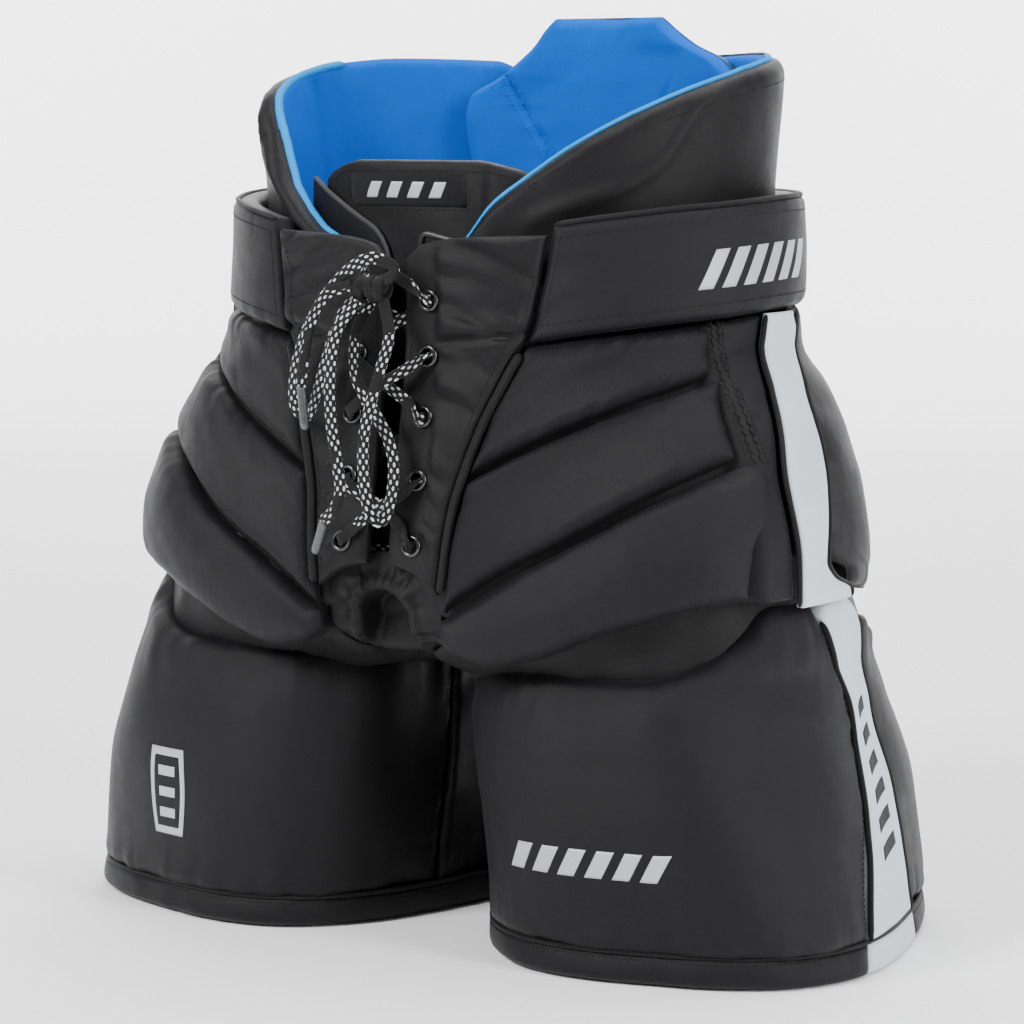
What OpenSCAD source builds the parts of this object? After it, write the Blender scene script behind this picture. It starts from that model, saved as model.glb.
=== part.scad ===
/* [Waist] */
// Half of the width across the outside of the belt
waist_half_w = 127; // [115:1:140]
// Half of the front-to-back depth across the outside of the belt
waist_half_d = 93; // [84:1:102]
// Height of the belt's lower edge above the floor, at the front
belt_z = 248; // [240:1:256]
// Height of the belt band
belt_h = 45; // [40:1:50]
// How much higher the belt lies at the sides and the back
belt_rise = 14; // [8:1:15]
// Thickness of the padded belt
belt_t = 11; // [8:1:12]
// Half of the slit between the two lacing facings
slit_half_w = 5; // [4:0.5:8]

/* [Hips] */
// Half of the width at the widest part of the hip pads
hip_half_w = 161; // [158:1:168]
// Half of the depth at the hip pads
hip_half_d = 108; // [104:1:114]
// Thickness of the hip pads
hip_pad_t = 12; // [9:1:13]
// Angle of the hip pads' outer ends, from straight ahead
hip_end_a = 71; // [68:1:72]
// Width of the grooves between the hip pads, as an angle
groove_a = 1; // [0.6:0.1:2]

/* [Legs] */
// Height of the leg's upper rim, under the overlap of the hip pads
leg_top_z = 118; // [110:1:119]
// Middle of each leg from the centre plane, at the hem
leg_hem_x = 95.5; // [94:0.5:98]
// Half of the leg's width at the hem
leg_hem_a = 85.5; // [80:0.5:86]
// Half of the leg's depth at the hem
leg_hem_b = 98; // [94:1:102]
// How far each leg's hem is turned outwards
toe_out_a = 16; // [0:1:17]
// Thickness of the thigh padding
thigh_pad_t = 14; // [10:1:15]
// Height of the hem band
hem_h = 13; // [10:1:16]

/* [Collar pads] */
// Height of the spine pad's top edge
spine_top_z = 380; // [370:1:390]
// Height of the kidney pads' highest edge
kidney_top_z = 363; // [356:1:370]
// Thickness of the kidney pads
kidney_t = 10; // [8:0.5:10]
// Thickness of the spine pad
spine_t = 10; // [8:0.5:12]

/* [Lacing] */
// Radius of each eyelet's hole
eyelet_r = 2.7; // [2.6:0.1:3]
// Radius of each eyelet's flange
eyelet_flange_r = 4.6; // [4.4:0.1:5.2]
// Width of the flat lace, drawn as a round cord
lace_d = 5; // [4:0.5:5]

/* [Hidden] */

// Colours of the materials
black_cloth = [0.14, 0.14, 0.16];
soft_black = [0.19, 0.19, 0.21];
lining_black = [0.09, 0.09, 0.1];
foam_grey = [0.45, 0.46, 0.48];
plate_white = [0.85, 0.86, 0.85];
collar_blue = [0.03, 0.5, 0.9];
stripe_grey = [0.78, 0.82, 0.84];
trim_black = [0.06, 0.06, 0.07];
tip_grey = [0.35, 0.35, 0.37];

// Gap left between neighbouring pieces
gap = 0.6;
belt_top_z = belt_z + belt_h;
// The belt's rise from the front to the back, as a share by angle
BELT_RISE = [[30, 0], [50, 0.42], [68, 0.7], [95, 0.92], [180, 1]];
function belt_low(angle) = belt_z + belt_rise * lookup(angle, BELT_RISE);
// How deep the kidney pads and the tongue lie behind the outer surface
collar_d = -belt_t - 3;
// Half widths, half depths and squareness of the pelvis, by height
PELVIS_W = [[110, hip_half_w - 5], [140, hip_half_w - 1], [165, hip_half_w], [190, hip_half_w - 4],
            [208, hip_half_w - 10], [230, hip_half_w - 22], [belt_z, waist_half_w + 2],
            [belt_top_z, waist_half_w], [350, waist_half_w + 5], [390, waist_half_w + 7]];
PELVIS_D = [[110, hip_half_d - 2], [140, hip_half_d], [165, hip_half_d - 1], [190, hip_half_d - 5],
            [220, hip_half_d - 10], [belt_z, waist_half_d + 1], [belt_top_z, waist_half_d],
            [350, waist_half_d + 1], [390, waist_half_d + 1]];
PELVIS_N = [[110, 3.2], [165, 3.0], [200, 2.7], [belt_z, 2.3], [belt_top_z, 2.2], [390, 2.2]];
// The squareness of the rear half
REAR_N = [[110, 2.1], [200, 2], [390, 2]];
// Outer edge of the lacing facings, as an angle by height
FACING_A = [[125, 13], [148, 15.3], [181, 17.5], [213, 23], [237, 29.4], [belt_z + 6, 34.5],
            [belt_top_z, 39]];
// Heights of the eyelets
EYELET_Z = [168, 194, 219, 243, 265];
eyelet_x = 17;
facing_t = 6;
// Leg section by height: middle, half width, half depth
LEG_X = [[0, leg_hem_x], [60, leg_hem_x - 3.5], [100, 87], [leg_top_z, 86.5]];
LEG_A = [[0, leg_hem_a], [60, leg_hem_a - 7.5], [100, 70], [leg_top_z, 66.5]];
LEG_B = [[0, leg_hem_b], [60, leg_hem_b - 1], [85, 94.5], [105, 89.6], [leg_top_z, 88]];
leg_n = 2.8;
LEG_REAR_N = [[0, 2.8], [60, 2.8], [100, 2.4], [leg_top_z, 2.1]];
// Edges of the leg's panels as angles at the rim and at the hem
INNER_EDGE_A = [[0, -80], [leg_top_z, -76]];
STRIPE_FRONT_A = [[0, 53], [105, 81], [leg_top_z + 18, 76]];
STRIPE_REAR_A = [[0, 93], [90, 103], [leg_top_z, 110], [leg_top_z + 18, 107]];
rear_edge_a = 190;
seam_a = 0.7;
// The leg's upper rim rises by this much on the outer side, under the stripe
side_rise = 18;
LEG_RIM = [[15, leg_top_z], [62, leg_top_z + side_rise], [112, leg_top_z + side_rise],
           [150, leg_top_z]];
// The kidney pads' edges by angle; the right pad's front corner is squarer
KIDNEY_TOP_LEFT = [[17, 289], [24, 302], [34, 313], [45, 325], [60, 339], [75, 350], [90, 357],
                   [104, kidney_top_z - 2], [118, kidney_top_z], [143, kidney_top_z - 1],
                   [150, kidney_top_z - 5]];
KIDNEY_TOP_RIGHT = [[17, 283], [30, 287], [38, 291], [53, 309], [60, 322], [67, 336], [75, 347],
                    [90, 355], [104, kidney_top_z - 3], [118, kidney_top_z], [143, kidney_top_z - 1],
                    [150, kidney_top_z - 5]];
KIDNEY_LOW = [[17, 280], [35, 272], [60, 266], [120, 266], [150, 278]];
KIDNEY_FULL = [[17, 0.5], [45, 1]];
// How far the spine pad reaches to the wearer's right and left, by height
SPINE_RIGHT = [[292, 50], [320, 58], [344, 60], [357, 43], [368, 29], [spine_top_z, 19]];
SPINE_LEFT = [[292, 68], [320, 78], [345, 87], [354, 86], [360, 79], [368, 57], [374, 46],
              [spine_top_z, 37]];
spine_low_z = 292;
spine_d = collar_d - kidney_t - 2;
// How far the tongue reaches to the wearer's right and left, and its depth, by height
tongue_low_z = 170;
tongue_top_z = 319;
TONGUE_RIGHT = [[170, 20], [230, 30], [262, 40], [290, 52], [312, 61], [319, 50]];
TONGUE_LEFT = [[170, 20], [230, 30], [262, 38], [290, 43], [312, 46], [319, 34]];
TONGUE_D = [[170, -19], [240, -19], [262, -28], [319, -28]];
// The lace's radius, and the routes of the lace, its bow and its tails
lace_r = lace_d / 2;
LACE_ROUTE = [
    [-8, -100, 277], [-13, -98, 272], [-17, -97, 266], [-17, -90, 264], [-13, -85, 261],
    [0, -84, 254], [13, -86, 247], [17, -90, 244], [17, -97, 243],
    [11, -101, 238], [0, -105, 231], [-12, -103, 223], [-17, -101, 219], [-17, -94, 218],
    [-12, -89, 214], [0, -88, 206], [12, -91, 198], [17, -97, 195], [17, -105, 193],
    [12, -108, 188], [0, -109, 181], [-12, -108, 172], [-17, -108, 168], [-17, -100, 167],
    [-12, -95, 164], [0, -94, 163], [12, -95, 164], [17, -100, 167], [17, -108, 168],
    [12, -107, 175], [0, -103, 182], [-12, -105, 189], [-17, -104, 193], [-17, -97, 195],
    [-12, -93, 199], [0, -94, 207], [12, -90, 214], [17, -94, 218], [17, -101, 219],
    [12, -100, 224], [0, -99, 231], [-12, -98, 238], [-17, -97, 243], [-17, -90, 244],
    [-12, -87, 248], [0, -90, 256], [12, -86, 261], [17, -90, 264], [17, -97, 266],
    [12, -99, 271], [6, -101, 275]
];
LOOP_LEFT = [
    [-1, -104, 272], [8, -107, 275], [9, -107, 279], [-1, -107, 282], [-11, -107, 278],
    [-22, -106, 269], [-33, -105, 255], [-40, -104, 240], [-42, -104, 227], [-39, -106, 220],
    [-32, -108, 218], [-26, -111, 226], [-20, -112, 241], [-15, -110, 257], [-10, -106, 266]
];
LOOP_RIGHT = [
    [-5, -102, 264], [-8, -108, 253], [-7, -110, 235], [2, -111, 222], [10, -112, 210],
    [13, -113, 198], [11, -114, 183], [8, -117, 178], [5, -120, 186], [3, -120, 202],
    [4, -119, 218], [8, -115, 238], [9, -110, 252], [3, -105, 265]
];
TAIL_LEFT = [
    [-10, -110, 271], [-20, -112, 267], [-27, -113, 255], [-29, -114, 244], [-29, -117, 230]
];
TAIL_RIGHT = [
    [-6, -110, 265], [-12, -116, 253], [-14, -118, 236], [-13, -119, 218], [-9, -121, 203],
    [-6, -123, 190], [-9, -124, 182], [-14, -123, 178]
];
AGLET_LEFT = [[-29, -117, 230], [-27, -117, 213]];
AGLET_RIGHT = [[-14, -123, 178], [-20, -121, 164]];
KNOT_ROUTE = [[-10, -103, 268], [-5, -105, 270], [0, -105, 271], [4, -103, 270]];
// The waist strap's middle line, seen from above, its width, and its slope down to its free end
STRAP_ROUTE = [
    [-68, -51.5], [-62, -54.8], [-56, -58], [-50, -60.3], [-43, -62.8], [-37, -64.3], [-31, -65.5],
    [-25, -66.4], [-20, -66.9]
];
strap_w = 22;
strap_t = 1.6;
strap_z = 288;
strap_mid_x = -40;
strap_slope = -0.5;

function mix(a, b, t) = a + (b - a) * t;
function depth(d, q) = is_num(d) ? d : d(q);

// Distance to a superellipse with half axes a and b in the direction of an angle
function reach(angle, a, b, n) =
    pow(pow(abs(sin(angle)) / a, n) + pow(abs(cos(angle)) / b, n), -1 / n);

// A point on the pelvis: angle from straight ahead, height, distance out from the surface
function pelvis_n(z, rear) = lookup(z, rear ? REAR_N : PELVIS_N);
function pelvis(angle, z, d) =
    let (
        n = pelvis_n(z, cos(angle) < 0),
        r = reach(angle, lookup(z, PELVIS_W) + d, lookup(z, PELVIS_D) + d, n)
    )
    [r * sin(angle), -r * cos(angle), z];

// A point on the pelvis at a distance x from the centre plane; side is -1 at the front
function pelvis_at(x, z, d, side) =
    let (w = lookup(z, PELVIS_W) + d, n = pelvis_n(z, side > 0))
    [x, side * (lookup(z, PELVIS_D) + d) * pow(1 - pow(min(abs(x) / w, 0.999), n), 1 / n), z];

// A point on the left leg
function leg(angle, z, d) =
    let (
        n = cos(angle) < 0 ? lookup(z, LEG_REAR_N) : leg_n,
        r = reach(angle, lookup(z, LEG_A) + d, lookup(z, LEG_B) + d, n),
        turned = angle + toe_out_a * max(0, 1 - z / leg_top_z)
    )
    [lookup(z, LEG_X) + r * sin(turned), -r * cos(turned), z];

function quad(a, b, c, d) = [[a, b, c], [a, c, d]];

// A closed solid between an outer and an inner grid of points
module slab(outer, inner, closed = false) {
    rows = len(outer);
    cols = len(outer[0]);
    last_row = closed ? rows - 1 : rows - 2;
    function at(side, i, j) = side * rows * cols + (i % rows) * cols + j;
    skins = [
        for (i = [0 : last_row], j = [0 : cols - 2])
            each concat(
                quad(at(0, i, j), at(0, i, j + 1), at(0, i + 1, j + 1), at(0, i + 1, j)),
                quad(at(1, i, j), at(1, i + 1, j), at(1, i + 1, j + 1), at(1, i, j + 1))
            )
    ];
    rims = [
        for (i = [0 : last_row])
            each concat(
                quad(at(0, i, 0), at(0, i + 1, 0), at(1, i + 1, 0), at(1, i, 0)),
                quad(at(0, i, cols - 1), at(1, i, cols - 1), at(1, i + 1, cols - 1),
                     at(0, i + 1, cols - 1))
            )
    ];
    ends = closed ? [] : [
        for (j = [0 : cols - 2])
            each concat(
                quad(at(0, 0, j), at(1, 0, j), at(1, 0, j + 1), at(0, 0, j + 1)),
                quad(at(0, rows - 1, j), at(0, rows - 1, j + 1), at(1, rows - 1, j + 1),
                     at(1, rows - 1, j))
            )
    ];
    polyhedron([for (grid = [outer, inner]) each [for (row = grid) each row]],
               concat(skins, rims, ends));
}

// A panel on a surface; place maps u and v, from 0 to 1, to the surface's two coordinates
module panel(skin_at, place, outer, inner, nu, nv, closed = false) {
    last_u = closed ? nu - 1 : nu;
    spots = [for (i = [0 : last_u]) [for (j = [0 : nv]) place(i / nu, j / nv)]];
    slab([for (row = spots) [for (q = row) skin_at(q[0], q[1], depth(outer, q))]],
         [for (row = spots) [for (q = row) skin_at(q[0], q[1], depth(inner, q))]],
         closed);
}

// The same piece on the wearer's other side
module other_side() {
    mirror([1, 0, 0]) children();
}

// A panel with four corners, each an angle and a height
module cornered(skin_at, low_a, low_b, top_a, top_b, outer, inner, nu, nv) {
    panel(skin_at,
          function(u, v) mix(mix(low_a, low_b, u), mix(top_a, top_b, u), v),
          outer, inner, nu, nv);
}

// ---- Belt and lacing facings ----
module belt_layer(outer, inner) {
    panel(function(a, z, d) pelvis(a, z, d),
          function(u, v) let (
              a = mix(lookup(mix(belt_z, belt_top_z, v), FACING_A) + 0.5, 179.7, u)
          ) [a, belt_low(a) + belt_h * v],
          outer, inner, 18, 2);
}

module belt_cover_left() {
    color(black_cloth) belt_layer(0, -2);
}

module belt_foam_left() {
    color(foam_grey) belt_layer(-2.3, -belt_t);
}

function facing_spot(u, v) =
    let (top = lookup(u, [[0, belt_top_z - 12], [0.12, belt_top_z - 6], [0.4, belt_top_z - 3],
                          [1, belt_top_z - 2]]),
         z = mix(151, top, v),
         inner_a = atan2(slit_half_w, lookup(z, PELVIS_D)))
    [mix(inner_a, lookup(z, FACING_A) - 0.5, u), z];

module at_eyelets() {
    for (z = EYELET_Z) {
        lean = atan2(lookup(z - 8, PELVIS_D) - lookup(z + 8, PELVIS_D), 16);
        translate([eyelet_x, -lookup(z, PELVIS_D) + facing_t / 2 + 0.2, z])
            rotate([90 - lean, 0, 0]) children();
    }
}

module fly_facing_left() {
    color(soft_black)
        difference() {
            panel(function(a, z, d) pelvis(a, z, d), function(u, v) facing_spot(u, v),
                  0, -facing_t, 6, 8);
            at_eyelets() cylinder(h = 16, r = eyelet_r + 0.4, center = true, $fn = 24);
        }
}

module grommet() {
    half_h = facing_t / 2 + 0.7;
    rotate_extrude($fn = 32)
        polygon([
            [eyelet_r, -half_h], [eyelet_flange_r, -half_h], [eyelet_flange_r, -half_h + 0.9],
            [eyelet_r + 0.38, -half_h + 0.9], [eyelet_r + 0.38, half_h - 0.9],
            [eyelet_flange_r, half_h - 0.9], [eyelet_flange_r, half_h], [eyelet_r, half_h]
        ]);
}

module eyelets_left() {
    color(trim_black) at_eyelets() grommet();
}

// ---- Hip pads, stripes and seat ----
module hip_segment(low_a, low_b, top_a, top_b, nu, nv) {
    color(black_cloth)
        cornered(function(a, z, d) pelvis(a, z, d), low_a, low_b, top_a, top_b,
                 0, -hip_pad_t, nu, nv);
}

module hip_pad_upper_left() {
    hip_segment([24.4, 200.5], [hip_end_a - 2, 240], [33, belt_low(33) - 1.5],
                [hip_end_a - 1, belt_low(hip_end_a) - 2], 8, 3);
}

module hip_pad_middle_left() {
    hip_segment([16.6, 147], [hip_end_a - 3, 208], [24.4 - groove_a, 197],
                [hip_end_a - 2, 236.5], 8, 3);
}

module hip_pad_lower_left() {
    color(black_cloth)
        panel(function(a, z, d) pelvis(a, z, d),
              function(u, v) [
                  mix(15, mix(hip_end_a - 1, hip_end_a, v), u),
                  mix(lookup(u, [[0, 128], [0.18, 122], [0.35, 126], [0.55, 138], [1, 150]]),
                      lookup(u, [[0, 142], [1, 204]]), v)
              ],
              0, -hip_pad_t, 9, 4);
}

module hip_plate_left() {
    color(plate_white)
        cornered(function(a, z, d) pelvis(a, z, d), [26, 172], [hip_end_a - 2, 176],
                 [36, 240], [hip_end_a - 3, 242], -hip_pad_t - 0.8, -hip_pad_t - 2.8, 8, 4);
}

// Edges of the upper stripe, as angles by height; it widens like a tongue over the leg's stripe
STRIPE_A = [[146, hip_end_a + 3], [192, hip_end_a + 2.5], [224, hip_end_a + 6],
            [belt_z, hip_end_a + 10], [belt_z + belt_rise, hip_end_a + 12]];
STRIPE_B = [[146, 88], [152, 87], [164, 82], [185, 83], [223, 88], [belt_z, 92],
            [belt_z + belt_rise, 94]];
module upper_stripe_left() {
    color(stripe_grey)
        panel(function(a, z, d) pelvis(a, z, d),
              function(u, v) let (z = mix(146, belt_low(82) - 1, v))
                  [mix(lookup(z, STRIPE_A), lookup(z, STRIPE_B) - seam_a / 2, u), z],
              1, -3, 3, 8);
}

// The seat's lower edge is higher on the outer side, above the leg's rim
SEAT_LOW = [[80, 141], [125, 141], [150, 130], [180, 128]];
module seat_panel_left() {
    color(soft_black)
        panel(function(a, z, d) pelvis(a, z, d),
              function(u, v) let (
                  front = lookup(mix(141, belt_low(92) - 1, v), STRIPE_B) + seam_a,
                  z = mix(lookup(mix(front, 179.8, u), SEAT_LOW), belt_low(92) - 1, v)
              ) [mix(front, 179.8, u), z],
              0, -5, 10, 7);
}

module tailbone_pad() {
    color(foam_grey)
        cornered(function(a, z, d) pelvis(a, z, d), [158, 140], [202, 140],
                 [152, 236], [208, 236], -5.6, -15, 6, 4);
}

module waist_lining() {
    color(lining_black)
        for (side = [0, 1])
            mirror([side, 0, 0])
                panel(function(a, z, d) pelvis(a, z, d),
                      function(u, v) [mix(37, 179.6, u), mix(172, belt_z + 17, v)],
                      -17.5, -19, 12, 3);
}

// The gathered gusset between the legs, from the fly to the seat
CROTCH = [
    [[0, -104, 149], 23], [[0, -103, 136], 21], [[0, -99, 127], 15], [[0, -84, 124], 9],
    [[0, -50, 121], 8.5], [[0, 0, 120], 8.5], [[0, 50, 121], 8.5], [[0, 84, 123], 9],
    [[0, 99, 127], 12]
];
module crotch_gusset() {
    color(soft_black)
        slab([for (i = [0 : len(CROTCH) - 1]) crotch_row(i, 0)],
             [for (i = [0 : len(CROTCH) - 1]) crotch_row(i, 3)]);
}
function crotch_row(i, lift) =
    let (
        last = len(CROTCH) - 1,
        along = CROTCH[min(i + 1, last)][0] - CROTCH[max(i - 1, 0)][0],
        up = [0, -along[2], along[1]] / norm(along)
    )
    [for (x = [1, 0.5, 0, -0.5, -1]) CROTCH[i][0] + [x * CROTCH[i][1], 0, 0] + lift * up];

// ---- Waist strap and its buckle ----
module waist_strap() {
    last = len(STRAP_ROUTE) - 1;
    sides = [
        for (i = [0 : last])
            let (
                along = STRAP_ROUTE[min(i + 1, last)] - STRAP_ROUTE[max(i - 1, 0)],
                out = [along[1], -along[0]] / norm(along) * strap_t / 2
            )
            [STRAP_ROUTE[i] + out, STRAP_ROUTE[i] - out]
    ];
    color(trim_black)
        multmatrix([[1, 0, 0, 0], [0, 1, 0, 0],
                    [strap_slope, 0, 1, strap_z - strap_w / 2 - strap_slope * strap_mid_x]])
            linear_extrude(strap_w)
                polygon(concat([for (s = sides) s[0]], [for (i = [last : -1 : 0]) sides[i][1]]));
}

module strap_buckle() {
    color(trim_black)
        translate([17, -82.4, 281])
            rotate([90, -12, 0])
                linear_extrude(2.4, center = true)
                    difference() {
                        square([26, 18], center = true);
                        translate([0, 3.5]) square([20, 4.6], center = true);
                        translate([0, -3.5]) square([20, 4.6], center = true);
                    }
}

// ---- Tongue ----
module tongue_layer(front, back) {
    slab([for (i = [0 : 8]) [for (j = [0 : 6]) tongue_point(i / 4 - 1, j / 6, front)]],
         [for (i = [0 : 8]) [for (j = [0 : 6]) tongue_point(i / 4 - 1, j / 6, back)]]);
}
function tongue_point(u, v, d) =
    let (z = mix(tongue_low_z, tongue_top_z, v))
    pelvis_at(u * lookup(z, u < 0 ? TONGUE_RIGHT : TONGUE_LEFT), z, lookup(z, TONGUE_D) + d, -1);

module tongue_cover() {
    color(soft_black) tongue_layer(0, -1.5);
}

module tongue_foam() {
    color(foam_grey) tongue_layer(-1.8, -7);
}

// ---- Spine pad ----
module spine_layer(outer, inner) {
    slab([for (i = [0 : 10]) [for (j = [0 : 9]) spine_point(1 - i / 5, j / 9, outer)]],
         [for (i = [0 : 10]) [for (j = [0 : 9]) spine_point(1 - i / 5, j / 9, inner)]]);
}
function spine_point(u, v, d) =
    let (z = mix(spine_low_z, spine_top_z, v))
    pelvis_at(u * lookup(z, u < 0 ? SPINE_RIGHT : SPINE_LEFT), z, spine_d + d, 1);

module spine_cover() {
    color(soft_black) spine_layer(0, -1.7);
}

module spine_foam() {
    color(foam_grey) spine_layer(-2, -spine_t + 2);
}

module spine_liner() {
    color(collar_blue) spine_layer(-spine_t + 1.7, -spine_t);
}

// ---- Kidney pads ----
module kidney_layer(from, to, top_edge) {
    thick = function(q, part) collar_d - kidney_t * lookup(q[0], KIDNEY_FULL) * part;
    panel(function(a, z, d) pelvis(a, z, d),
          function(u, v) let (a = mix(17, 150, u))
              [a, mix(lookup(a, KIDNEY_LOW), lookup(a, top_edge), v)],
          function(q) thick(q, from), function(q) thick(q, to), 14, 4);
}

module kidney_cover(top_edge) {
    color(soft_black) kidney_layer(0, 0.17, top_edge);
}

module kidney_foam(top_edge) {
    color(foam_grey) kidney_layer(0.2, 0.8, top_edge);
}

module kidney_liner(top_edge) {
    color(collar_blue) kidney_layer(0.83, 1, top_edge);
}

module kidney_cover_left() { kidney_cover(KIDNEY_TOP_LEFT); }
module kidney_foam_left() { kidney_foam(KIDNEY_TOP_LEFT); }
module kidney_liner_left() { kidney_liner(KIDNEY_TOP_LEFT); }

// ---- Legs ----
module leg_panel(from, to, low_z, below_rim, outer, inner, nu, nv) {
    rim_a = function(u) mix(depth(from, leg_top_z), depth(to, leg_top_z), u);
    panel(function(a, z, d) leg(a, z, d),
          function(u, v) let (z = mix(low_z, lookup(rim_a(u), LEG_RIM) - below_rim, v))
              [mix(depth(from, z), depth(to, z), u), z],
          outer, inner, nu, nv);
}

module leg_ring(low_z, top_z, outer, inner, nv) {
    panel(function(a, z, d) leg(a, z, d),
          function(u, v) [360 * u, mix(low_z, top_z, v)],
          outer, inner, 32, nv, closed = true);
}
panel_low_z = hem_h + gap;
panel_rows = 8;

module thigh_cover_left() {
    color(black_cloth)
        leg_panel(function(z) lookup(z, INNER_EDGE_A) + seam_a,
                  function(z) lookup(z, STRIPE_FRONT_A) - seam_a,
                  panel_low_z, 0, 0, -2, 18, panel_rows);
}

module thigh_foam_left() {
    color(foam_grey)
        leg_panel(-36, function(z) lookup(z, STRIPE_FRONT_A) - 2,
                  panel_low_z + 3, 6, -6.6, -thigh_pad_t, 14, panel_rows);
}

module thigh_plate_left() {
    color(plate_white)
        leg_panel(-24, 50, panel_low_z + 8, 14, -3.6, -5.2, 10, panel_rows);
}

module leg_lining_left() {
    color(lining_black) leg_ring(3, leg_top_z, -thigh_pad_t - 1.2, -thigh_pad_t - 2.6, 5);
}

module rear_panel_left() {
    color(soft_black)
        leg_panel(function(z) lookup(z, STRIPE_REAR_A) + seam_a, rear_edge_a - seam_a,
                  panel_low_z, 0, 0, -6, 9, panel_rows);
}

module inner_panel_left() {
    color(soft_black)
        leg_panel(rear_edge_a + seam_a, function(z) 360 + lookup(z, INNER_EDGE_A) - seam_a,
                  panel_low_z, 0, 0, -3, 9, panel_rows);
}

module hem_band_left() {
    color(black_cloth) leg_ring(0, hem_h, 1.2, -4, 1);
}

stripe_pad_t = 11;
module lower_stripe_left() {
    color(stripe_grey)
        leg_panel(function(z) lookup(z, STRIPE_FRONT_A) + seam_a / 4,
                  function(z) lookup(z, STRIPE_REAR_A) - seam_a / 4,
                  panel_low_z, 0, 0.8, -stripe_pad_t, 4, panel_rows);
}

// ---- Lace ----
// Rings of points around a route, carried along it without twist
function unit(v) = v / norm(v);
function route_tangent(route, i) =
    unit(route[min(i + 1, len(route) - 1)] - route[max(i - 1, 0)]);
function carried(route, i) =
    i == 0 ? unit(cross(route_tangent(route, 0), [0.3, 0.2, 1]))
           : let (t = route_tangent(route, i), before = carried(route, i - 1))
             unit(before - (before * t) * t);

module tube(route, r, sides = 8) {
    last = len(route) - 1;
    rings = [
        for (i = [0 : last])
            let (t = route_tangent(route, i), across = carried(route, i), up = cross(t, across))
            [for (k = [0 : sides - 1])
                route[i] + r * (cos(360 * k / sides) * across + sin(360 * k / sides) * up)]
    ];
    walls = [
        for (i = [0 : last - 1], k = [0 : sides - 1])
            let (next = (k + 1) % sides)
            each quad(i * sides + k, (i + 1) * sides + k, (i + 1) * sides + next,
                      i * sides + next)
    ];
    caps = [[for (k = [0 : sides - 1]) k],
            [for (k = [sides - 1 : -1 : 0]) last * sides + k]];
    polyhedron([for (ring = rings) each ring], concat(walls, caps));
}

module lace() {
    color(trim_black) tube(LACE_ROUTE, lace_r);
}

module lace_knot() {
    color(trim_black) tube(KNOT_ROUTE, lace_r + 2.5, 10);
}

module bow_loop_left() {
    color(trim_black) tube(LOOP_LEFT, lace_r);
}

module bow_loop_right() {
    color(trim_black) tube(LOOP_RIGHT, lace_r);
}

module lace_tail_left() {
    color(trim_black) tube(TAIL_LEFT, lace_r);
}

module lace_tail_right() {
    color(trim_black) tube(TAIL_RIGHT, lace_r);
}

module aglets() {
    color(tip_grey) {
        tube(AGLET_LEFT, lace_r - 0.7);
        tube(AGLET_RIGHT, lace_r - 0.7);
    }
}

// ---- The wearer's right side ----
module belt_cover_right() { other_side() belt_cover_left(); }
module belt_foam_right() { other_side() belt_foam_left(); }
module fly_facing_right() { other_side() fly_facing_left(); }
module eyelets_right() { other_side() eyelets_left(); }
module hip_pad_upper_right() { other_side() hip_pad_upper_left(); }
module hip_pad_middle_right() { other_side() hip_pad_middle_left(); }
module hip_pad_lower_right() { other_side() hip_pad_lower_left(); }
module hip_plate_right() { other_side() hip_plate_left(); }
module upper_stripe_right() { other_side() upper_stripe_left(); }
module seat_panel_right() { other_side() seat_panel_left(); }
module kidney_cover_right() { other_side() kidney_cover(KIDNEY_TOP_RIGHT); }
module kidney_foam_right() { other_side() kidney_foam(KIDNEY_TOP_RIGHT); }
module kidney_liner_right() { other_side() kidney_liner(KIDNEY_TOP_RIGHT); }
module thigh_cover_right() { other_side() thigh_cover_left(); }
module thigh_foam_right() { other_side() thigh_foam_left(); }
module thigh_plate_right() { other_side() thigh_plate_left(); }
module leg_lining_right() { other_side() leg_lining_left(); }
module rear_panel_right() { other_side() rear_panel_left(); }
module inner_panel_right() { other_side() inner_panel_left(); }
module hem_band_right() { other_side() hem_band_left(); }
module lower_stripe_right() { other_side() lower_stripe_left(); }

belt_cover_left();
belt_cover_right();
belt_foam_left();
belt_foam_right();
fly_facing_left();
fly_facing_right();
eyelets_left();
eyelets_right();
hip_pad_upper_left();
hip_pad_upper_right();
hip_pad_middle_left();
hip_pad_middle_right();
hip_pad_lower_left();
hip_pad_lower_right();
hip_plate_left();
hip_plate_right();
upper_stripe_left();
upper_stripe_right();
seat_panel_left();
seat_panel_right();
tailbone_pad();
waist_lining();
crotch_gusset();
waist_strap();
strap_buckle();
tongue_cover();
tongue_foam();
spine_cover();
spine_foam();
spine_liner();
kidney_cover_left();
kidney_cover_right();
kidney_foam_left();
kidney_foam_right();
kidney_liner_left();
kidney_liner_right();
thigh_cover_left();
thigh_cover_right();
thigh_foam_left();
thigh_foam_right();
thigh_plate_left();
thigh_plate_right();
leg_lining_left();
leg_lining_right();
rear_panel_left();
rear_panel_right();
inner_panel_left();
inner_panel_right();
hem_band_left();
hem_band_right();
lower_stripe_left();
lower_stripe_right();
lace();
lace_knot();
bow_loop_left();
bow_loop_right();
lace_tail_left();
lace_tail_right();
aglets();
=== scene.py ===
"""Hockey pants: the looks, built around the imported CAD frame.

Lengths inside the shape functions are millimetres, as in the design; meshes are made in metres.
The frame has +X towards the wearer's left, -Y towards the front, and z = 0 under the hems.
"""

import math
from types import SimpleNamespace

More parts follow.
